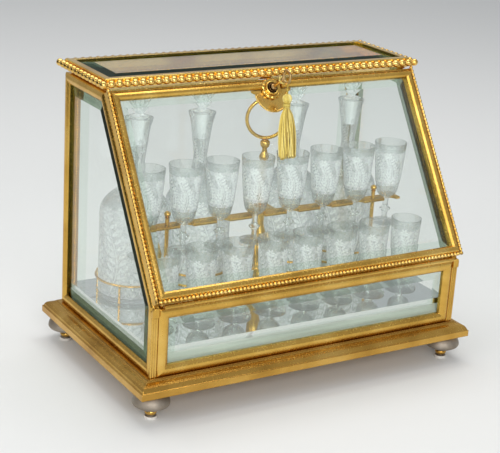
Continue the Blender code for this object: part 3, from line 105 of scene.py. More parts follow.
def gilding(name, dark, mid, bright, dust_and_shade, rough=(0.16, 0.34), rounding=0.0011, shade_reach=0.005,
            dents=0.00006):
    """Gilt brass: cloudy tone, dust specks and painted shade in the quirks, rubbed roundings and a faint
    hammered skin.
    """
    cloud_scale, speck_scale, dent_scale = 22, 420, 260
    speck_share = 0.35
    made, tree, surface = new_material(name)
    cloud = noise(tree, cloud_scale, distortion=0.3)
    tone = ramp(tree, cloud, [(0.22, dark), (0.50, mid), (0.78, bright)])
    # Painted shade: ambient occlusion darkens the quirks toward the dust-and-shade colour, together with dust
    # specks.
    occlusion = new_node(tree, "AmbientOcclusion", Distance=shade_reach)
    occlusion.samples = 6
    occlusion.only_local = True
    painted_shade = spread(tree, occlusion.outputs["AO"], 1.0, -0.15)
    speck = noise(tree, speck_scale, detail=4.0)
    specks_and_shade = new_node(tree, "Math", Value=speck)
    specks_and_shade.operation = "MULTIPLY_ADD"
    specks_and_shade.inputs[1].default_value = speck_share
    tree.links.new(painted_shade, specks_and_shade.inputs[2])
    dust_and_shade_share = spread(tree, specks_and_shade.outputs[0], -0.15, 0.80)
    round_off = new_node(tree, "Bevel", Radius=rounding)
    round_off.samples = 4
    bump = new_node(tree, "Bump", Distance=dents, Height=noise(tree, dent_scale, detail=2.0),
                    Normal=round_off.outputs["Normal"])
    fill(tree, surface, Base_Color=blend_colour(tree, dust_and_shade_share, tone, dust_and_shade), Metallic=1.0,
         Roughness=spread(tree, speck, *rough), Normal=bump.outputs["Normal"])
    return made


def finish_node(node, *materials):
    """Gives a CAD node its finish through its object's own slots."""
    piece = frame["nodes"][node]
    for index, slot in enumerate(piece.material_slots):
        slot.link = "OBJECT"
        slot.material = materials[min(index, len(materials) - 1)]


# The fifth colour of each gilding is its dust and painted shade in the quirks.
gilt = gilding("gilt_brass", (0.52, 0.29, 0.05), (0.71, 0.43, 0.09), (0.88, 0.60, 0.18),
               (0.14, 0.07, 0.015))
for rail in ("low_front_frame", "side_frame_left", "side_frame_right", "back_frame", "door_frame",
             "hinge_rail", "lock_case"):
    finish_node(rail, gilt)
bright_gilt = gilding("bright_gilt", (0.64, 0.37, 0.07), (0.84, 0.54, 0.13), (0.96, 0.68, 0.22),
                      (0.34, 0.17, 0.03), rough=(0.12, 0.26), rounding=0.0008, shade_reach=0.0016,
                      dents=0.00004)
finish_node("lid_frame", bright_gilt)


# Plinth: a wooden slab faced with gilt brass, a little duller and darker than the case.
# The fascia is plain and the ogee above it runs in to the fillet that the case stands on.
plinth_gilt = gilding("plinth_gilt", (0.42, 0.22, 0.04), (0.60, 0.34, 0.07), (0.76, 0.48, 0.13),
                      (0.20, 0.12, 0.04), rough=(0.17, 0.33), shade_reach=0.0035)
finish_node("plinth", plinth_gilt)


# Feet: turned brass buns whose gilding has gone grey on the rims and stays in the necks, on pale pads.
# Each is one turning with a pin at the top that screws into the plinth.
def smooth_line(points, steps):
    """A curve through the points, with the given number of steps between two of them."""
    ends = [points[0], *points, points[-1]]
    line = []
    for four in zip(ends, ends[1:], ends[2:], ends[3:]):
        for t in [step / steps for step in range(steps)]:
            line.append(tuple(0.5 * (2 * q + (r - p) * t + (2 * p - 5 * q + 4 * r - s) * t * t
                                     + (3 * q - p - 3 * r + s) * t ** 3) for p, q, r, s in zip(*four)))
    return line + [tuple(points[-1])]


def finished_mesh(name, bm, sharp, *materials):
    """Makes a mesh of a bmesh, smooth but for its sharp edges."""
    bm.normal_update()
    mesh = bpy.data.meshes.new(name)
    bm.to_mesh(mesh)
    bm.free()
    mesh.shade_smooth()
    mesh.set_sharp_from_angle(angle=radians(sharp))
    for material in materials:
        mesh.materials.append(material)
    return mesh


def new_piece(name, data):
    piece = bpy.data.objects.new(name, data)
    bpy.context.scene.collection.objects.link(piece)
    return piece


def closed_piece(name, bm, material, body, sharp=40, outward=False, others=()):
    """Makes a piece of a bmesh that moves with a body. outward turns all its faces out first."""
    if outward:
        bmesh.ops.recalc_face_normals(bm, faces=bm.faces)
    piece = new_piece(name, finished_mesh(name, bm, sharp, material, *others))
    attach(piece, body)
    return piece


def arc(middle_x, middle_y, radius, start, end, steps):
    """Points (x, y) from one turn to another, both ends with them."""
    turns = [start + (end - start) * step / steps for step in range(steps + 1)]
    return [(middle_x + radius * cos(turn), middle_y + radius * sin(turn)) for turn in turns]


def circle(radius, steps):
    return arc(0, 0, radius, 0, 2 * pi, steps)[:-1]


def standing(node):
    """The middle of a node's foot, its radius and its height."""
    low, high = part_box(node)
    middle = Vector(((low[0] + high[0]) / 2, (low[1] + high[1]) / 2, low[2]))
    return middle, (high[0] - low[0]) / 2, high[2] - low[2]


def lathe(bm, profile, segments, middle=(0, 0, 0), shape=None):
    """Turns (radius, height) points about Z. shape(turn, radius, height) may cut facets in the round."""
    rings = []
    for radius, height in profile:
        if radius < 1e-6:
            rings.append([bm.verts.new(Vector(middle) + Vector((0, 0, height)))])
            continue
        ring = []
        for turn in [2 * pi * index / segments for index in range(segments)]:
            reach = shape(turn, radius, height) if shape else radius
            place = Vector((reach * cos(turn), reach * sin(turn), height))
            ring.append(bm.verts.new(Vector(middle) + place))
        rings.append(ring)
    for upper, lower in zip(rings, rings[1:]):
        for index in range(segments):
            after = (index + 1) % segments
            corners = [upper[index % len(upper)], lower[index % len(lower)],
                       lower[after % len(lower)], upper[after % len(upper)]]
            kept = [corner for order, corner in enumerate(corners) if corner not in corners[:order]]
            if len(kept) > 2:
                bm.faces.new(kept)


foot_metal = gilding("worn_brass", (0.20, 0.165, 0.125), (0.38, 0.33, 0.27), (0.60, 0.56, 0.50),
                     (0.040, 0.025, 0.014), rough=(0.46, 0.74), shade_reach=0.007)
foot_pad, tree, surface = new_material("foot_pad")
pad_tones = [(0.3, (0.55, 0.52, 0.47)), (0.7, (0.74, 0.71, 0.66))]
fill(tree, surface, Base_Color=ramp(tree, noise(tree, 300), pad_tones), Roughness=0.65)
foot_shares = ((0.62, 1.0), (0.68, 0.965), (0.84, 0.87), (0.95, 0.755), (0.995, 0.66), (1.0, 0.60),
               (0.975, 0.555), (0.90, 0.51), (0.66, 0.425), (0.36, 0.395), (0.22, 0.37), (0.23, 0.335),
               (0.29, 0.30), (0.325, 0.24), (0.29, 0.17), (0.22, 0.13), (0.23, 0.10), (0.34, 0.085),
               (0.35, 0.04), (0.345, 0.0))
pad_share = 0.09
neck_low_share, neck_high_share = 0.13, 0.38
for node in ("foot_front_left", "foot_front_right", "foot_back_left", "foot_back_right"):
    middle, radius, height = standing(node)
    profile = [(max(0.0, across) * radius, up * height) for across, up in smooth_line(foot_shares, 3)]
    bm = bmesh.new()
    lathe(bm, [(0, height), *profile, (0, 0)], 40, middle)
    for face in bm.faces:
        share = (face.calc_center_median().z - middle.z) / height
        face.material_index = 2 if share < pad_share else 1 if neck_low_share < share < neck_high_share else 0
    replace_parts(closed_piece(node + "_turned", bm, foot_metal, "case", sharp=50,
                             others=(plinth_gilt, foot_pad)), node)


# Floor of the case: a board painted grey, whose front edge shows through the low pane, and on it a thick
# silvered mirror that doubles the glasses, with a few grey age spots near its edges.
board, tree, surface = new_material("dark_wood")
grain_place = new_node(tree, "TexCoord").outputs["Object"]
grain_stretch = new_node(tree, "Mapping", Vector=grain_place, Scale=(12, 220, 220)).outputs["Vector"]
grain = new_node(tree, "TexNoise", Vector=grain_stretch, Scale=1.0, Detail=6.0).outputs["Fac"]
board_paint = [(0.3, (0.34, 0.35, 0.32)), (0.7, (0.47, 0.48, 0.44))]
fill(tree, surface, Base_Color=ramp(tree, grain, board_paint), Roughness=0.38)
finish_node("tray_board", board)

mirror, tree, surface = new_material("mirror")
age = noise(tree, 34, detail=8.0, distortion=1.2)
silvering = [(0.0, (0.80, 0.82, 0.80)), (0.66, (0.78, 0.80, 0.78)), (0.74, (0.42, 0.40, 0.36))]
fill(tree, surface, Base_Color=ramp(tree, age, silvering), Metallic=1.0,
     Roughness=spread(tree, age, 0.005, 0.05))
finish_node("mirror_floor", mirror)


# Panes: thick plate glass with a broad bevel ground round the outer face of each one.
# The flats are clear, the bevels bend what is behind them, and the edges show the metal's green; the side and
# lid bevels carry a darker tint, which is painted shade.
def mixed(tree, share, first, second):
    """Two shaders mixed by a number or by a socket."""
    made = new_node(tree, "MixShader", Fac=share)
    tree.links.new(first.outputs[0], made.inputs[1])
    tree.links.new(second.outputs[0], made.inputs[2])
    return made


def show(tree, whole):
    """Makes a shader the material's surface."""
    tree.links.new(whole.outputs[0], tree.nodes["Material Output"].inputs["Surface"])


def clear_to_lamps(tree, glass, tint):
    """Lets the lamps shine through a glass, so that it throws only a faint shadow."""
    lamp_ray = new_node(tree, "LightPath").outputs["Is Shadow Ray"]
    show(tree, mixed(tree, lamp_ray, glass, new_node(tree, "BsdfTransparent", Color=tint)))


def pane_glass(name, facing, bevel_green):
    """Plate glass whose bevel is found from its slope to the pane's own facing."""
    edge_green, flat_clear = (0.30, 0.44, 0.33), (0.975, 0.987, 0.980)
    made, tree, surface = new_material(name)
    tree.nodes.remove(surface)
    slope = new_node(tree, "VectorMath")
    slope.operation = "DOT_PRODUCT"
    tree.links.new(new_node(tree, "TexCoord").outputs["Normal"], slope.inputs[0])
    slope.inputs[1].default_value = facing
    level = new_node(tree, "Math", Value=slope.outputs["Value"])
    level.operation = "ABSOLUTE"
    steeper = []
    for least in (0.996, 0.6):
        test = new_node(tree, "Math", Value=level.outputs[0])
        test.operation = "GREATER_THAN"
        test.inputs[1].default_value = least
        steeper.append(test.outputs[0])
    flat, ground = steeper
    off_flat = blend_colour(tree, ground, edge_green, bevel_green)
    tint = blend_colour(tree, flat, off_flat, flat_clear)
    glass = new_node(tree, "BsdfGlass", Color=tint, IOR=1.5, Roughness=0.0)
    clear_to_lamps(tree, glass, (0.95, 0.97, 0.96))
    return made


joints = {joint["name"]: joint for joint in frame["joints"]}
up_slope = Vector(joints["bolt_throw"]["axis"]).normalized()
out_of_slope = Vector((1, 0, 0)).cross(up_slope).normalized()
# bevel_shade_green is painted shade: a darker tint for the side and lid bevels, whose glass is the same as
# the other panes'.
pale_green, bevel_shade_green = (0.86, 0.92, 0.87), (0.42, 0.50, 0.40)
for node, facing, bevel_green in (("side_glass_left", (1, 0, 0), bevel_shade_green),
                                  ("side_glass_right", (1, 0, 0), bevel_shade_green),
                                  ("low_front_glass", (0, 1, 0), pale_green),
                                  ("back_glass", (0, 1, 0), pale_green),
                                  ("lid_glass", (0, 0, 1), bevel_shade_green),
                                  ("door_glass", tuple(out_of_slope), pale_green)):
    finish_node(node, pane_glass(node + "_plate", facing, bevel_green))


# Hinge pins: plain steel wires through the knuckles, seen only as two dots at each end.
# Drawn wire, slightly darkened by oil.
def plain_metal(name, dark, bright, rough):
    made, tree, surface = new_material(name)
    fill(tree, surface, Base_Color=ramp(tree, noise(tree, 180, detail=4.0), [(0.3, dark), (0.7, bright)]),
         Metallic=1.0, Roughness=spread(tree, noise(tree, 700), rough - 0.08, rough + 0.1))
    return made


wire_metal = plain_metal("drawn_wire", (0.50, 0.42, 0.28), (0.72, 0.62, 0.42), 0.34)
for node in ("door_hinge_pin", "lid_hinge_pin"):
    finish_node(node, wire_metal)


# Beads round the lid: a cast string of round beads joined by short necks, soldered into the ledge.
# The beads are polished by every cloth that passes, and the necks between them are brown with dust and
# painted shade.
bead_gilt = gilding("bead_gilt", (0.62, 0.36, 0.07), (0.80, 0.51, 0.13), (0.94, 0.67, 0.23),
                    (0.12, 0.065, 0.015), rough=(0.10, 0.24), shade_reach=0.004, dents=0.00003)


def add_ball(bm, middle, radius, rows, columns):
    made = bmesh.ops.create_uvsphere(bm, u_segments=columns, v_segments=rows, radius=radius)
    bmesh.ops.translate(bm, verts=made["verts"], vec=middle)


def add_rod(bm, start, end, radius, sides):
    way = end - start
    turn = way.to_track_quat("Z", "Y")
    made = bmesh.ops.create_cone(bm, cap_ends=True, segments=sides, radius1=radius, radius2=radius,
                                 depth=way.length)
    for vert in made["verts"]:
        vert.co = turn @ vert.co + (start + end) / 2


def bead_line(bm, start, end, pitch, radius, rows, columns, wire, sides, more=0):
    """Beads from start to end, strung on a wire. more=1 puts a bead on the end too."""
    count = round((end - start).length / pitch)
    for index in range(count + more):
        add_ball(bm, start.lerp(end, index / count), radius, rows, columns)
    add_rod(bm, start, end, wire, sides)


low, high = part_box("lid_beading")
bead_pitch = 0.009
bead_radius = 0.0041
bead_sink = 0.0018
bead_drawn_in = 0.0042
bead_height = (low[2] + high[2]) / 2 - bead_sink
reach = (high[0] - low[0]) / 2 - bead_drawn_in
front, behind = low[1] + bead_drawn_in, high[1] - bead_drawn_in
corners = [Vector((x, y, bead_height)) for x, y in ((-reach, front), (reach, front), (reach, behind),
                                                    (-reach, behind))]
bm = bmesh.new()
for start, end in zip(corners, corners[1:] + corners[:1]):
    bead_line(bm, start, end, bead_pitch, bead_radius, 10, 14, bead_radius * 0.5, 8)
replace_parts(closed_piece("lid_bead_string", bm, bead_gilt, "lid", sharp=60), "lid_beading")


# Pearls round the door: a much finer string on the two sides and the foot, laid in the outer rebate.
# It stops at the top, under the edge of the lid.
key_axis = Vector(joints["key_turn"]["pos_m"])


def slope_point(x, up, out, origin=key_axis):
    """A place given across, up and out of the sloping door."""
    return origin + Vector((x, 0, 0)) + up_slope * up + out_of_slope * out


low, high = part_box("door_beading")
pearl_radius = 0.0021
pearl_pitch = 0.0046
pearls_above_key, pearls_below_key = 0.0113, -0.21259
pearls_drawn_in = 0.0022
half = (high[0] - low[0]) / 2 - pearls_drawn_in
corners = [slope_point(x, up, 0) for x, up in ((-half, pearls_above_key), (-half, pearls_below_key),
                                               (half, pearls_below_key), (half, pearls_above_key))]
bm = bmesh.new()
for start, end in zip(corners, corners[1:]):
    bead_line(bm, start, end, pearl_pitch, pearl_radius, 6, 10, pearl_radius * 0.6, 6, more=1)
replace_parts(closed_piece("door_pearl_string", bm, bead_gilt, "door", sharp=60), "door_beading")


# Glazing bead at the back: a narrow gilt strip with close cross ribs that keeps the back pane in.
# It shows through the side pane as a ribbed band.
def join_rings(bm, rings, around=False):
    """Skins each ring to the next. The last one goes to the first, or else both ends are closed."""
    for first, second in zip(rings, rings[1:] + (rings[:1] if around else [])):
        for side in range(len(first)):
            after = (side + 1) % len(first)
            bm.faces.new((first[side], first[after], second[after], second[side]))
    if not around:
        bm.faces.new(rings[0][::-1])
        bm.faces.new(rings[-1])


low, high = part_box("back_glass_bead")
rib_pitch = 0.0030
rib_width = 0.0050
rib_depth = high[1] - low[1]
rib_gap = 0.0002


def ribbed_strip(bm, start, end, inward):
    """A strip from start to end with half-round ribs across it; its face looks to the front."""
    steps = round((end - start).length / rib_pitch) * 6
    rings = []
    for step in range(steps + 1):
        middle = start.lerp(end, step / steps)
        near = high[1] - rib_depth * (0.35 + 0.65 * abs(sin(pi * step / 6)))
        shoulder = near + rib_depth * 0.3
        section = ((0.0, high[1]), (0.0, shoulder), (0.25, near), (0.75, near), (1.0, shoulder),
                   (1.0, high[1]))
        places = [(middle + inward * (rib_width * across), face) for across, face in section]
        rings.append([bm.verts.new((place.x, face, place.z)) for place, face in places])
    join_rings(bm, rings)


corners = [Vector((x, 0, z)) for x, z in ((low[0], low[2]), (high[0], low[2]), (high[0], high[2]),
                                          (low[0], high[2]))]
ways = [Vector(way) for way in ((0, 0, 1), (-1, 0, 0), (0, 0, -1), (1, 0, 0))]
bm = bmesh.new()
for index, inward in enumerate(ways):
    start, end = corners[index], corners[(index + 1) % 4]
    drawn_in = (end - start).normalized() * (rib_width + rib_gap) * (index % 2)
    ribbed_strip(bm, start + drawn_in, end - drawn_in, inward)
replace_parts(closed_piece("glazing_strip_ribbed", bm, bright_gilt, "case", sharp=50,
                         outward=True), "back_glass_bead")


# Escutcheon: a shaped brass apron under the rosette, with a raised rim and a sunk, matted field.
# It is screwed to the lock case, which is let into the top edge of the door's pane.
plate_back = -0.0040
apron_radius = 0.021
apron_middle = -0.0057
apron_steps = 14
plate_top = -0.0005
shoulders = ((0.0249, plate_top, 0.0), (0.0250, -0.0020, 0.1), (0.0236, -0.0036, 0.3), (0.0216, -0.0042, 0.6),
             (0.0203, -0.0052, 0.9))


def plate_ring(drawn_in, out):
    """The plate's edge at one depth: the apron drawn in and the shoulders almost left where they are."""
    half = [(x - drawn_in * share, y) for x, y, share in shoulders]
    half += arc(0, apron_middle, apron_radius - drawn_in, 0, -pi / 2, apron_steps)[:-1]
    foot = [(0.0, apron_middle - apron_radius + drawn_in)]
    line = half + foot + [(-x, y) for x, y in reversed(half)]
    return [bm.verts.new(slope_point(x, y, out)) for x, y in line]


bm = bmesh.new()
plate_steps = ((0.0, 0.0), (0.00001, 0.0012), (0.0005, 0.0017), (0.0014, 0.00171), (0.0019, 0.0010))
rings = [plate_ring(drawn_in, plate_back + up) for drawn_in, up in plate_steps]
join_rings(bm, rings)
bmesh.ops.recalc_face_normals(bm, faces=bm.faces)
screw_radius, screw_out = 0.0013, 0.0010
for x, y in ((0.0185, -0.0058), (-0.0185, -0.0058), (0.0, -0.0235)):
    add_ball(bm, slope_point(x, y, plate_back + screw_out), screw_radius, 6, 10)
# The plate's gilt is paler than the case's: partly its matted finish, partly painted light.
matted_lit_gilt = gilding("matted_gilt_painted_light", (0.74, 0.45, 0.10), (0.90, 0.61, 0.17), (0.98, 0.74, 0.28),
                 (0.20, 0.09, 0.015), rough=(0.20, 0.38), rounding=0.0004, shade_reach=0.0014, dents=0.00012)
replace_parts(closed_piece("escutcheon_plate", bm, matted_lit_gilt, "door", sharp=30), "escutcheon")


# Rosette: a cast flower of ten petals round a ribbed collar, standing over the frame and the plate.
# Its cupped centre, where the key goes in, is painted near black: painted shade in the cup and a painted dark
# reflection in its polish.
petals = 10
petal_steps = 10
flower_steps = ((1.0, 0.0, 1), (1.0, 0.24, 1), (0.97, 0.36, 1), (0.88, 0.50, 1), (0.78, 0.50, 1),
                (0.70, 0.38, 1), (0.655, 0.36, 0), (0.635, 0.72, 0), (0.59, 0.84, 0), (0.53, 0.86, 0),
                (0.47, 0.74, 0), (0.44, 0.48, 0), (0.415, 0.66, 0), (0.39, 0.94, 0), (0.33, 0.98, 0),
                (0.235, 0.80, 0), (0.22, 0.30, 0), (0.21, 0.0, 0))
petal_notch, petal_crown, petal_round = 0.10, 0.22, 0.6
flower_radius = 0.0125
flower_height = 0.0050
flower_out = -0.0020
bm = bmesh.new()
rings = []
for across, up, petal in flower_steps:
    ring = []
    for index in range(petals * petal_steps):
        turn = 2 * pi * index / (petals * petal_steps)
        lobe = abs(sin(turn * petals / 2))
        reach = across * flower_radius * (1 - petal * petal_notch * (1 - lobe ** petal_round))
        rise = up * flower_height * (1 - petal * petal_crown * (1 - lobe))
        ring.append(bm.verts.new(slope_point(reach * cos(turn), reach * sin(turn),
                                             flower_out + rise)))
    rings.append(ring)
join_rings(bm, rings, around=True)
# Painted shade and painted dark reflection: the faces near the key's axis take a near-black gilt.
collar_shade_paint = gilding("collar_painted_shade", (0.09, 0.05, 0.02), (0.16, 0.09, 0.035), (0.30, 0.18, 0.07),
                      (0.02, 0.01, 0.005), rough=(0.10, 0.22))
collar_share = 0.48
for face in bm.faces:
    off_axis = (face.calc_center_median() - key_axis).cross(out_of_slope).length
    face.material_index = 1 if off_axis < collar_share * flower_radius else 0
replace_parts(closed_piece("rosette_flower", bm, bright_gilt, "door", sharp=50, outward=True,
                         others=(collar_shade_paint,)), "rosette")


# Bolt and key: the bolt is plain steel and hides in the lock case.
# The key is brass gone brown, with a round bow that the tassel hangs beside.
finish_node("lock_bolt", plain_metal("lock_steel", (0.34, 0.33, 0.32), (0.55, 0.54, 0.52), 0.36))
key_metal = plain_metal("key_brass", (0.36, 0.22, 0.09), (0.66, 0.46, 0.20), 0.32)
bow_out = 0.034
bow_radius = 0.0068
bow_tube = 0.0013
shank_line = ((0.0, 0.0278), (0.0014, 0.0278), (0.0022, 0.0270), (0.0026, 0.0262), (0.0020, 0.0254),
              (0.0018, 0.0240), (0.0020, 0.0100), (0.0020, 0.0062), (0.0032, 0.0052), (0.0034, 0.0046),
              (0.0032, 0.0040), (0.0020, 0.0034), (0.0020, -0.0083), (0.0, -0.0083))
bm = bmesh.new()
lathe(bm, shank_line, 20)
bit_low = Vector((-0.0006, 0.0, -0.0080))
bit_high = Vector((0.0006, 0.0040, -0.0060))
for vert in bmesh.ops.create_cube(bm, size=1.0)["verts"]:
    vert.co = Vector([(low + high) / 2 + reach * (high - low)
                      for low, high, reach in zip(bit_low, bit_high, vert.co)])
for vert in bm.verts:
    vert.co = slope_point(*vert.co)
rings = []
for up, out in circle(1, 40):
    rings.append([bm.verts.new(slope_point(aside, (bow_radius + along) * up,
                                           bow_out + (bow_radius + along) * out))
                  for along, aside in circle(bow_tube, 12)])
join_rings(bm, rings, around=True)
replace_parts(closed_piece("key_turned", bm, key_metal, "key", sharp=35, outward=True), "key")


# Tassel: yellow silk floss, bound to a turned head and a wrapped neck, on a twisted cord that goes
# round the key. The skirt's threads spread and lie on the sloping glass.
silk, tree, surface = new_material("silk")
strand_shade = new_node(tree, "NewGeometry").outputs["Random Per Island"]
strand_tone = ramp(tree, strand_shade, [(0.0, (0.34, 0.22, 0.02)), (0.35, (0.66, 0.49, 0.08)),
                                                (0.75, (0.84, 0.69, 0.18)), (1.0, (0.93, 0.83, 0.36))])
silk_tone = ramp(tree, noise(tree, 700, detail=3.0),
                 [(0.30, (0.72, 0.68, 0.55)), (0.70, (1.0, 1.0, 1.0))])
silk_share = spread(tree, noise(tree, 300), 0.5, 1.0)
fill(tree, surface, Base_Color=blend_colour(tree, silk_share, strand_tone, silk_tone, how="MULTIPLY"),
     Roughness=0.48, Sheen_Weight=0.12)


def add_tube(bm, points, radii, sides, across=(1, 0, 0), closed=False):
    """A tube along the points, with one radius for all of them or a list with one for each."""
    rings = []
    for index, point in enumerate(points):
        before = points[index - 1] if index or closed else points[index]
        after = points[(index + 1) % len(points)] if index < len(points) - 1 or closed else points[index]
        along = (after - before).normalized()
        side_way = (Vector(across) - along * along.dot(Vector(across))).normalized()
        out = along.cross(side_way)
        radius = radii[index] if isinstance(radii, list) else radii
        rings.append([bm.verts.new(point + side_way * x + out * y) for x, y in circle(radius, sides)])
    join_rings(bm, rings, around=closed)


hang_point = Vector(joints["tassel_swing"]["pos_m"])
cord_x = 0.0061
head_x = 0.0071
skirt_drift, skirt_length, skirt_rest = 0.0112, 0.0795, 0.0222
head_top = hang_point + Vector((head_x, 0, 0))
neck_foot = hang_point + Vector((head_x, 0, -0.030))
skirt_foot = head_top - Vector((skirt_drift, 0, 0)) - up_slope * skirt_length - out_of_slope * skirt_rest
head_strands, swirl_rate = 20, 55
strand_reach, strand_share, core_share = 0.86, 0.17, 0.84
head_outline = ((0.0012, 0.0145), (0.0030, 0.0150), (0.0042, 0.0160), (0.0050, 0.0176), (0.0052, 0.0192),
                (0.0050, 0.0207), (0.0043, 0.0220), (0.0034, 0.0229), (0.0030, 0.0236), (0.0034, 0.0242),
                (0.0036, 0.0250), (0.0033, 0.0258), (0.0035, 0.0266), (0.0036, 0.0274), (0.0033, 0.0282),
                (0.0034, 0.0290), (0.0028, 0.0302))
bm = bmesh.new()
for strand in range(head_strands):
    lean = 2 * pi * strand / head_strands
    line = [head_top + Vector((radius * strand_reach * cos(lean + drop * swirl_rate),
                               radius * strand_reach * sin(lean + drop * swirl_rate), -drop))
            for radius, drop in head_outline]
    add_tube(bm, line, [max(0.0004, radius * strand_share) for radius, drop in head_outline], 5)
core = [head_top - Vector((0, 0, drop)) for radius, drop in head_outline]
add_tube(bm, core, [radius * core_share for radius, drop in head_outline], 14)
wrap_top, wrap_count, wrap_pitch, wrap_radius, wrap_thread = 0.0236, 5, 0.0012, 0.0036, 0.00055
for wrap in range(wrap_count):
    drop = wrap_top + wrap_pitch * wrap
    ring = [head_top + Vector((x, y, -drop)) for x, y in circle(wrap_radius, 20)]
    add_tube(bm, ring, wrap_thread, 5, across=(0, 0, 1), closed=True)
skirt_strands, skirt_thread = 150, 0.00062
random.seed(4)
for strand in range(skirt_strands):
    lean = random.uniform(0, 2 * pi)
    reach = sqrt(random.uniform(0.15, 1.0))
    wander = random.uniform(-0.5, 0.5)
    length = random.uniform(0.93, 1.0)
    line = []
    for step in range(8):
        share = step / 7 * length
        middle = neck_foot.lerp(skirt_foot, share)
        wide = 0.0030 + 0.0074 * share ** 0.40
        deep = 0.0026 + 0.0028 * share ** 0.5
        belly = 0.0026 * sin(pi * share)
        angle = lean + wander * share
        line.append(slope_point((wide + belly) * reach * cos(angle), 0, deep * reach * sin(angle),
                                middle))
    add_tube(bm, line, skirt_thread, 4)
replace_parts(closed_piece("tassel_floss", bm, silk, "tassel", sharp=70), "tassel")

loop_radius, loop_out = 0.0036, 0.024
ply_reach, ply_radius = 0.00045, 0.00052
loop_middle = slope_point(0, 0, loop_out)
bm = bmesh.new()
for ply in range(2):
    line = []
    for step in range(60):
        turn = 2 * pi * step / 60
        twirl = turn * 7 + pi * ply
        reach = loop_radius + ply_reach * cos(twirl)
        line.append(slope_point(reach * cos(turn), reach * sin(turn), ply_reach * sin(twirl),
                                loop_middle))
    add_tube(bm, line, ply_radius, 6, across=tuple(out_of_slope), closed=True)
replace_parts(closed_piece("cord_round_key", bm, silk, "door", sharp=70), "tassel_loop")

cord_top, cord_length = 0.0002, 0.0146
cord_ply_reach, cord_ply_radius = 0.0005, 0.00058
bm = bmesh.new()
for ply in range(2):
    line = []
    for step in range(24):
        share = step / 23
        middle = hang_point + Vector((cord_x + (head_x - cord_x) * share, 0, -cord_top - cord_length * share))
        twirl = share * 16 + pi * ply
        line.append(middle + Vector((cord_ply_reach * cos(twirl), cord_ply_reach * sin(twirl), 0)))
    add_tube(bm, line, cord_ply_radius, 6)
closed_piece("tassel_cord", bm, silk, "tassel", sharp=70)


# Stand: a turned brass column with a loose ring on top, which lifts out the scalloped rail and the
# glasses together. The column screws into the floor of the case through the mirror.
stand_gilt = gilding("stand_gilt", (0.56, 0.32, 0.07), (0.76, 0.49, 0.13), (0.90, 0.64, 0.22),
                     (0.12, 0.055, 0.01), rough=(0.12, 0.28), shade_reach=0.004)
column_shares = ((0.30, 1.0), (0.44, 0.990), (0.46, 0.975), (0.40, 0.958), (0.22, 0.945), (0.24, 0.925),
                 (0.42, 0.900), (0.50, 0.885), (0.40, 0.868), (0.24, 0.855), (0.25, 0.800), (0.30, 0.700),
                 (0.355, 0.620), (0.38, 0.570), (0.38, 0.500), (0.34, 0.440), (0.40, 0.415), (0.62, 0.370),
                 (0.71, 0.320), (0.68, 0.270), (0.50, 0.215), (0.34, 0.170), (0.33, 0.130), (0.46, 0.118),
                 (0.60, 0.100), (0.61, 0.085), (0.56, 0.065), (0.78, 0.052), (0.98, 0.036), (1.0, 0.020),
                 (1.0, 0.0))
column_foot, radius, height = standing("centre_column")
bm = bmesh.new()
lathe(bm, [(0, height), *[(across * radius, up * height) for across, up in column_shares], (0, 0)], 36,
      column_foot)
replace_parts(closed_piece("column_turned", bm, stand_gilt, "case", sharp=50), "centre_column")

low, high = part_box("ring_handle")
ring_tube = 0.002
ring_middle = (low + high) / 2
ring_radius = (high[2] - low[2]) / 2 - ring_tube
ring_face = radians(-20)
ring_way = Vector((cos(ring_face), sin(ring_face), 0))
bm = bmesh.new()
line = [ring_middle + ring_way * across + Vector((0, 0, up)) for across, up in circle(ring_radius, 56)]
add_tube(bm, line, ring_tube, 12, across=(-ring_way.y, ring_way.x, 0), closed=True)
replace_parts(closed_piece("ring_bent", bm, stand_gilt, "case", sharp=70, outward=True),
            "ring_handle")

low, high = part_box("glass_rail")
glass_pitch = 0.0446
glass_row_y = -0.018
rail_front = glass_row_y - 0.0085
rail_back = glass_row_y + 0.0062
rail_thickness = 0.003
rail_edge = 0.0005
rail_height = low[2] + 0.0947
notch = 0.0045
scallop = 0.0082
meet = acos(notch / scallop)
tab = 0.0085
column_bore = 0.0052
outline = [(low[0], rail_back), (low[0], rail_front)]
for x in [(index - 3.5) * glass_pitch for index in range(8)]:
    outline += arc(x, rail_front, scallop, pi, pi - meet, 4)
    outline += arc(x, glass_row_y, notch, pi, 0, 10)
    outline += arc(x, rail_front, scallop, meet, 0, 4)
outline += [(high[0], rail_front), (high[0], rail_back), (tab, rail_back)]
outline += arc(0, column_foot.y, tab, 0, pi, 12) + [(-tab, rail_back)]
bore = arc(0, column_foot.y, column_bore, 0, 2 * pi, 24)[:-1]
shape = bpy.data.curves.new("rail_outline", "CURVE")
shape.dimensions = "2D"
shape.fill_mode = "BOTH"
shape.extrude = rail_thickness / 2 - rail_edge
shape.bevel_depth = rail_edge
shape.bevel_resolution = 1
shape.offset = -rail_edge
for points in (outline, bore):
    spline = shape.splines.new("POLY")
    spline.points.add(len(points) - 1)
    for point, place in zip(spline.points, points):
        point.co = (*place, 0, 1)
    spline.use_cyclic_u = True
drawn = new_piece("rail_outline", shape)
bpy.context.view_layer.update()
flat = bpy.data.meshes.new_from_object(drawn.evaluated_get(bpy.context.evaluated_depsgraph_get()))
bpy.data.objects.remove(drawn, do_unlink=True)
bm = bmesh.new()
bm.from_mesh(flat)
bmesh.ops.remove_doubles(bm, verts=bm.verts, dist=0.00001)
bmesh.ops.translate(bm, verts=bm.verts, vec=(0, 0, rail_height + rail_thickness / 2))
post_x, post_in = 0.1338, 0.0040
post_top = high[2] - low[2]
finial = ((0, 0), (0.0018, 0.0006), (0.0034, 0.0022), (0.0036, 0.0036), (0.0032, 0.0050), (0.0018, 0.0064),
          (0.0030, 0.0072), (0.0022, 0.0080))
post_line = [(radius, post_top - down) for radius, down in finial]
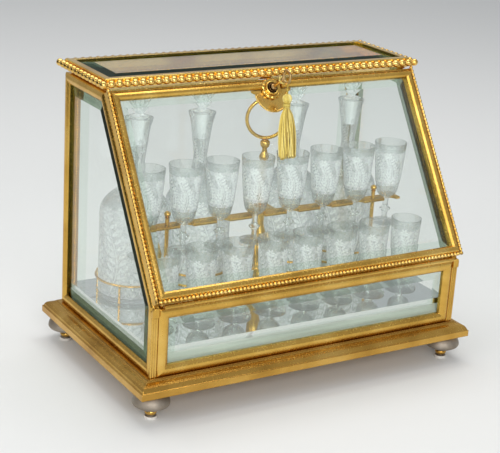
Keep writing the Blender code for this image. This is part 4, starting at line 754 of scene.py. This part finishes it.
post_line += [(0.0020, 0.0100), (0.0034, 0.0060), (0.0036, 0.0), (0, 0)]
for x in (-post_x, post_x):
    lathe(bm, post_line, 20, (x, rail_front + post_in, low[2]))
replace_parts(closed_piece("glass_rail_cut", bm, stand_gilt, "case", outward=True), "glass_rail")


# Gallery: a hoop of brass wire round each decanter, joined in pairs and across the middle, on short
# legs with ball feet.
low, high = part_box("decanter_gallery")
gallery_wire = 0.0013
hoop_radius = 0.0393
leg_ball = 0.0019
leg_lift = 0.0004
hoop_height = high[2] - gallery_wire
decanter_y = 0.042
inner_x, outer_x = 0.061, 0.138
meet = acos((outer_x - inner_x) / 2 / hoop_radius)
leg_out = hoop_radius * cos(pi / 4)
hoops = arc(outer_x, decanter_y, hoop_radius, meet - pi, pi - meet, 40)[:-1]
hoops += arc(inner_x, decanter_y, hoop_radius, meet, 2 * pi - meet, 40)[:-1]
bm = bmesh.new()
for side_sign in (-1, 1):
    line = [Vector((side_sign * x, y, hoop_height)) for x, y in hoops]
    add_tube(bm, line, gallery_wire, 10, across=(0, 0, 1), closed=True)
    for leg_x, way in ((outer_x + leg_out, -1), (outer_x + leg_out, 1), (inner_x - leg_out, -1),
                       (inner_x - leg_out, 1)):
        leg_foot = Vector((side_sign * leg_x, decanter_y + way * leg_out, low[2]))
        leg_head = leg_foot + Vector((0, 0, hoop_height - low[2]))
        add_rod(bm, leg_foot + Vector((0, 0, leg_lift)), leg_head, gallery_wire * 0.9, 10)
        add_ball(bm, leg_foot + Vector((0, 0, leg_ball)), leg_ball, 8, 12)
        add_ball(bm, leg_head, leg_ball, 8, 12)
bar_end = Vector((inner_x - hoop_radius, decanter_y, hoop_height))
add_rod(bm, bar_end * Vector((-1, 1, 1)), bar_end, gallery_wire, 10)
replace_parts(closed_piece("gallery_wire", bm, stand_gilt, "case", sharp=50, outward=True),
            "decanter_gallery")


# Glasses: blown crystal on short stems, wheel-etched all over the bowl with sprays of leaves below a
# clear rim, and cut with flutes at the foot of the bowl. The tall ones hang in the rail by their necks,
# the low ones stand before them on the mirror.
def etched_bloom(tree, through):
    """The white bloom of etched glass, with a share of light that comes through from behind."""
    white = new_node(tree, "BsdfDiffuse", Color=(0.93, 0.94, 0.95))
    return mixed(tree, through, white, new_node(tree, "BsdfTranslucent", Color=(0.90, 0.92, 0.93)))


def crystal_glass(name, milk=0.0):
    """Lead crystal: it bends the light and shines, and lets light through to what lies behind."""
    see_through = 0.36
    made, tree, surface = new_material(name)
    tree.nodes.remove(surface)
    bent = new_node(tree, "BsdfRefraction", Color=(0.955, 0.965, 0.96), IOR=1.5, Roughness=0.0)
    shine = new_node(tree, "BsdfGlossy", Roughness=0.03)
    glass = mixed(tree, new_node(tree, "Fresnel", IOR=1.56).outputs[0], bent, shine)
    straight = new_node(tree, "BsdfTransparent", Color=(0.97, 0.98, 0.975))
    body = mixed(tree, see_through, glass, straight)
    if milk:
        cover = spread(tree, noise(tree, 260, detail=5.0), 0.0, 2 * milk)
        body = mixed(tree, cover, body, etched_bloom(tree, 0.5))
    clear_to_lamps(tree, body, (0.90, 0.91, 0.90))
    return made


def frosted_glass(name, cover, grain):
    """Etched crystal: a white bloom that catches light, with the clear glass showing in its grain."""
    cover_range = 0.22
    made, tree, surface = new_material(name)
    tree.nodes.remove(surface)
    clear = new_node(tree, "BsdfTransparent", Color=(0.95, 0.96, 0.96))
    share = spread(tree, noise(tree, grain, detail=5.0), cover - cover_range, cover + cover_range)
    show(tree, mixed(tree, share, clear, etched_bloom(tree, 0.45)))
    return made


crystal = crystal_glass("cut_crystal")
frost = frosted_glass("etched_crystal", 0.44, 600)
matted_crystal = crystal_glass("matted_crystal", milk=0.30)
etch_proud = 0.00004


def reach_at(line, height):
    """The radius of a turned line at a height."""
    for (first_radius, first), (second_radius, second) in zip(line, line[1:]):
        if min(first, second) <= height <= max(first, second):
            share = (height - first) / (second - first) if second != first else 0
            return first_radius + (second_radius - first_radius) * share
    return line[-1][0]


def etched_leaf(bm, line, middle_turn, middle_height, lean, length, width):
    """One leaf, pointed at both ends, lying on the turned line's surface."""
    size = reach_at(line, middle_height)
    rim = []
    for step in range(10):
        turn = 2 * pi * step / 10
        along = length / 2 * cos(turn)
        aside = width / 2 * sin(turn) * (1 - 0.45 * cos(turn) ** 2)
        across = along * cos(lean) - aside * sin(lean)
        up = along * sin(lean) + aside * cos(lean)
        height = middle_height + up
        radius = reach_at(line, height) + etch_proud
        angle = middle_turn + across / size
        rim.append(bm.verts.new((radius * cos(angle), radius * sin(angle), height)))
    bm.faces.new(rim).material_index = 1


def etched_stem(bm, line, points, width):
    """A thin engraved line through (turn, height) points on the surface."""
    edges = []
    for turn, height in points:
        radius = reach_at(line, height) + etch_proud
        edges.append([bm.verts.new((radius * cos(angle), radius * sin(angle), height))
                      for angle in (turn - width / radius, turn + width / radius)])
    for first, second in zip(edges, edges[1:]):
        bm.faces.new((first[0], first[1], second[1], second[0])).material_index = 1


def etched_sprays(bm, line, foot, head, count, leaf, seed):
    """Sprays of leaves that climb a bowl, each one waving, with a flower at its top."""
    random.seed(seed)
    for spray in range(count):
        base = 2 * pi * spray / count
        span = head - foot
        points = [(base + 0.22 * sin(4.5 * step / 11), foot + span * step / 11) for step in range(12)]
        etched_stem(bm, line, points, leaf * 0.05)
        for step, (turn, height) in enumerate(points[1:-1]):
            radius = reach_at(line, height)
            size = leaf * (1.15 - 0.05 * step) * random.uniform(0.85, 1.1)
            for way in (-1, 1):
                lean = pi / 2 - way * random.uniform(0.75, 1.05)
                aside = way * size * 0.55 / radius
                etched_leaf(bm, line, turn + aside, height + size * 0.28, lean, size, size * 0.42)
        turn, height = points[-1]
        radius = reach_at(line, height)
        for petal in range(6):
            lean = pi * 2 * petal / 6
            etched_leaf(bm, line, turn + cos(lean) * leaf * 0.34 / radius,
                        height + sin(lean) * leaf * 0.34, lean, leaf * 0.55, leaf * 0.26)


def glass_mesh(name, outer, inner, stem, sprays, flute, matt, cut, segments=40, flutes=10):
    """A blown glass: outer and inner lines from the rim down, then its stem and foot. flute and matt
    are the heights between which it is fluted and matted."""
    bm = bmesh.new()

    def fluted(turn, radius, height):
        if not flute[0] <= height <= flute[1]:
            return radius
        fade = sin(pi * (height - flute[0]) / (flute[1] - flute[0])) ** 0.5
        return radius * (1 - cut * fade * (0.5 + 0.5 * cos(flutes * turn)))

    profile = [(0, inner[-1][1]), *reversed(inner), *outer, *stem, (0, 0)]
    lathe(bm, profile, segments, shape=fluted)
    bm.normal_update()
    bmesh.ops.recalc_face_normals(bm, faces=bm.faces)
    for face in bm.faces:
        place = face.calc_center_median()
        if matt[0] < place.z < matt[1] and face.normal.dot(Vector((place.x, place.y, 0))) > 0:
            face.material_index = 2
    sprays(bm, list(reversed(outer)))
    return finished_mesh(name, bm, 45, crystal, frost, matted_crystal)


def placed_glass(node, mesh, height=None):
    """Puts a glass in a node's place, standing in its box or at a height."""
    x, y, foot = standing(node)[0]
    piece = new_piece(node + "_blown", mesh)
    piece.location = (x, y, foot if height is None else height)
    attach(piece, "case")
    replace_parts(piece, node)


def drinking_glass(name, rim_radius, stem_top, bowl_shares, stem_radius, stem_shares, foot_radius, etched,
                   cut, matt_shares):
    """A stemmed glass, as tall as its node, from shares of its own sizes."""
    glass_wall, dimple, well_depth = 0.0010, 0.0006, 0.0028
    foot_edge, foot_low, foot_inset = 0.0012, 0.0004, 0.0001
    height = standing(name + "_1")[2]
    bowl = height - stem_top
    outer = [(rim_radius * across, stem_top + bowl * up) for across, up in smooth_line(bowl_shares, 3)]
    inner = [(max(dimple, radius - glass_wall), min(height, up + glass_wall)) for radius, up in outer[1:-2]]
    inner = [(rim_radius - glass_wall, height), *inner, (dimple, outer[-1][1] + well_depth)]
    stem = [(radius * stem_radius, up * stem_top) for radius, up in smooth_line(stem_shares, 3)]
    stem += [(foot_radius - foot_inset, foot_edge), (foot_radius, foot_low),
             (foot_radius - 4 * foot_inset, 0.0)]
    etch_foot, etch_head, leaf, seed = etched
    return glass_mesh(
        name + "_blown", outer, inner, stem,
        lambda bm, line: etched_sprays(bm, line, stem_top + bowl * etch_foot, stem_top + bowl * etch_head, 6,
                                       leaf, seed),
        flute=(stem_top + bowl * 0.01, stem_top + bowl * 0.24),
        matt=tuple(stem_top + bowl * share for share in matt_shares), cut=cut)


tall_glass = drinking_glass(
    "tall_glass", rim_radius=0.0185, stem_top=0.0323,
    bowl_shares=[(1.0, 1.0), (0.955, 0.85), (0.905, 0.66), (0.84, 0.46), (0.775, 0.28), (0.71, 0.16),
                 (0.60, 0.06), (0.36, 0.0)],
    stem_radius=0.0037,
    stem_shares=[(1.15, 0.96), (0.92, 0.88), (0.92, 0.62), (1.75, 0.52), (1.0, 0.42), (0.80, 0.24),
                 (1.1, 0.12), (2.2, 0.075), (3.6, 0.055)],
    foot_radius=0.0160, etched=(0.24, 0.80, 0.0080, 11), cut=0.10, matt_shares=(0.22, 0.84))
low_glass = drinking_glass(
    "low_glass", rim_radius=0.0175, stem_top=0.011,
    bowl_shares=[(1.0, 1.0), (0.96, 0.85), (0.915, 0.68), (0.86, 0.48), (0.80, 0.32), (0.755, 0.18),
                 (0.66, 0.07), (0.30, 0.0)],
    stem_radius=0.0034,
    stem_shares=[(1.2, 0.94), (1.0, 0.86), (1.60, 0.66), (0.95, 0.46), (1.2, 0.32), (2.6, 0.22),
                 (4.4, 0.15)],
    foot_radius=0.0180, etched=(0.26, 0.82, 0.0078, 12), cut=0.08, matt_shares=(0.24, 0.85))
for kind, mesh in (("tall_glass", tall_glass), ("low_glass", low_glass)):
    for index in range(8):
        placed_glass(f"{kind}_{index + 1}", mesh)


# Decanters: four blown and cut bottles with tall flared necks, etched with sprays of fern on the body
# and the neck. Each is closed by a ground stopper whose head is a cut star on a frosted plug.
decanter_height = 0.2007
body_radius = 0.037
decanter_shares = [(0.415, 1.0), (0.392, 0.982), (0.330, 0.930), (0.262, 0.840), (0.213, 0.761),
                   (0.228, 0.696), (0.324, 0.646), (0.540, 0.601), (0.784, 0.562), (0.940, 0.522),
                   (0.995, 0.482), (1.0, 0.420)]
base_shares = [(1.0, 0.13), (1.0, 0.03), (0.985, 0.008), (0.95, 0.0)]
outer = [(body_radius * across, decanter_height * up)
         for across, up in smooth_line(decanter_shares, 3) + base_shares]
body_inside = 0.0336
throat = 0.0052
inner_line = smooth_line([(0.0, 0.70), (0.12, 0.646), (0.38, 0.601), (0.70, 0.562), (0.92, 0.522),
                          (1.0, 0.470)], 3)
inner = [(0.0088, decanter_height), (0.0061, decanter_height - 0.030), (throat, decanter_height - 0.0304)]
inner += [(throat + (body_inside - throat) * across, decanter_height * up) for across, up in inner_line]
inner += [(body_inside, decanter_height * 0.05), (body_inside * 0.93, decanter_height * 0.036),
          (0.0006, 0.0085)]


def decanter_sprays(bm, line):
    etched_sprays(bm, line, decanter_height * 0.06, decanter_height * 0.50, 7, 0.0125, 21)
    etched_sprays(bm, line, decanter_height * 0.70, decanter_height * 0.88, 4, 0.0052, 22)


decanter = glass_mesh("decanter_blown", outer, inner, [], decanter_sprays,
                      flute=(decanter_height * 0.655, decanter_height * 0.97),
                      matt=(decanter_height * 0.04, decanter_height * 0.52), cut=0.10, segments=48, flutes=12)
for index in range(4):
    placed_glass(f"decanter_{index + 1}", decanter)

crown_height = 0.0296
plug_line = [(0.0, -0.0300), (0.0058, -0.0300), (0.0060, -0.0294), (0.0082, -0.0004)]
head_line = [(0.0085, 0.0), (0.0100, 0.0008), (0.0094, 0.0018), (0.0052, 0.0030), (0.0034, 0.0050),
             (0.0, 0.0066)]


def cut_blade(bm, turn, foot, tip, belly, thickness):
    """A pointed blade of glass with a ridge down each side, from the hub out to its tip."""
    out = Vector((cos(turn), sin(turn), 0))
    aside = Vector((-sin(turn), cos(turn), 0))
    start = out * foot[0] + Vector((0, 0, foot[1]))
    end = out * tip[0] + Vector((0, 0, tip[1]))
    middle = start.lerp(end, 0.45)
    face_way = aside.cross((end - start).normalized())
    corners = [middle + aside * belly, middle + face_way * thickness, middle - aside * belly,
               middle - face_way * thickness]
    low_end, high_end = bm.verts.new(start), bm.verts.new(end)
    rim = [bm.verts.new(corner) for corner in corners]
    for index, corner in enumerate(rim):
        after = rim[(index + 1) % 4]
        bm.faces.new((low_end, after, corner))
        bm.faces.new((high_end, corner, after))


bm = bmesh.new()
lathe(bm, plug_line + head_line, 24)
outer_blades, inner_blades = 11, 8
for blade in range(outer_blades):
    cut_blade(bm, 2 * pi * blade / outer_blades, (0.0020, 0.0016), (0.0156, 0.0215), 0.0030, 0.0014)
for blade in range(inner_blades):
    cut_blade(bm, 2 * pi * (blade + 0.5) / inner_blades, (0.0012, 0.0026), (0.0088, 0.0286), 0.0028,
              0.0014)
cut_blade(bm, 0.0, (0.0, 0.0030), (0.0, crown_height), 0.0028, 0.0024)
bm.normal_update()
bmesh.ops.recalc_face_normals(bm, faces=bm.faces)
plug_top, crown_foot = -0.0002, 0.0022
for face in bm.faces:
    height = face.calc_center_median().z
    face.material_index = 1 if height < plug_top else 2 if height > crown_foot else 0
stopper = finished_mesh("stopper_cut", bm, 24, crystal, frosted_glass("ground_plug", 0.76, 900),
                        crystal_glass("cut_star", milk=0.30))
for index in range(4):
    node = f"stopper_{index + 1}"
    placed_glass(node, stopper, height=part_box(node)[1][2] - crown_height)


# The room: a plain pale floor, soft lamps, and the photograph's camera.
def stage_sheet(name, size, colour, rough, shine):
    """A flat square of one colour for the room, which isn't part of the object."""
    material, tree, surface = new_material(name)
    fill(tree, surface, Base_Color=colour, Roughness=rough, Specular_IOR_Level=shine)
    bm = bmesh.new()
    bmesh.ops.create_grid(bm, x_segments=1, y_segments=1, size=size)
    piece = new_piece(name, finished_mesh(name, bm, 30, material))
    return piece


stage_sheet("studio_floor", 20, (0.72, 0.72, 0.70), 0.9, 0.2)

world = bpy.data.worlds.new("soft_room")
world.use_nodes = True
fill(world.node_tree, world.node_tree.nodes["Background"], Color=(0.92, 0.95, 1.0), Strength=0.50)
bpy.context.scene.world = world


def soft_lamp(name, place, target, size, power):
    lamp = bpy.data.lights.new(name, "AREA")
    lamp.shape = "RECTANGLE"
    lamp.size, lamp.size_y = size
    lamp.energy = power
    piece = new_piece(name, lamp)
    piece.location = place
    piece.rotation_mode = "QUATERNION"
    piece.rotation_quaternion = (Vector(target) - Vector(place)).to_track_quat("-Z", "Y")


# A dark cloth hung at the left, out of the picture, so that the polish there has something to show.
flag = stage_sheet("studio_flag", 0.5, (0.05, 0.045, 0.04), 1.0, 0.0)
flag.location = (-1.25, 0.35, 0.55)
flag.rotation_euler = (0, radians(90), 0)
flag.scale = (1.1, 1.7, 1.0)
flag.visible_camera = False
flag.visible_diffuse = False
flag.visible_shadow = False
flag.visible_transmission = False

soft_lamp("lamp_front", (-0.9, -2.3, 1.2), (0, 0, 0.18), (1.5, 1.0), 36)
soft_lamp("lamp_left", (-2.1, -0.6, 1.3), (0, 0, 0.18), (1.2, 1.2), 13)
soft_lamp("lamp_above", (0.2, 0.5, 2.3), (0, 0, 0.2), (2.0, 1.4), 30)

azimuth = radians(-31.97)
elevation = radians(18.98)
roll = radians(3.59)
distance = 1.5351
focal_pixels = 1370.47
picture_width = 500
aim = Vector((-0.01545, 0, 0.15079))
turned = (Matrix.Rotation(azimuth, 4, "Z") @ Matrix.Rotation(pi / 2 - elevation, 4, "X")
          @ Matrix.Rotation(roll, 4, "Z"))
camera = bpy.data.cameras.new("camera")
camera.sensor_width = 36
camera.lens = focal_pixels * camera.sensor_width / picture_width
camera_piece = new_piece("camera", camera)
camera_piece.matrix_world = Matrix.Translation(aim) @ turned @ Matrix.Translation((0, 0, distance))
scene = bpy.context.scene
scene.camera = camera_piece
scene.view_settings.view_transform = "Standard"
scene.cycles.max_bounces = 24
scene.cycles.transmission_bounces = 24
scene.cycles.glossy_bounces = 8
scene.cycles.transparent_max_bounces = 40
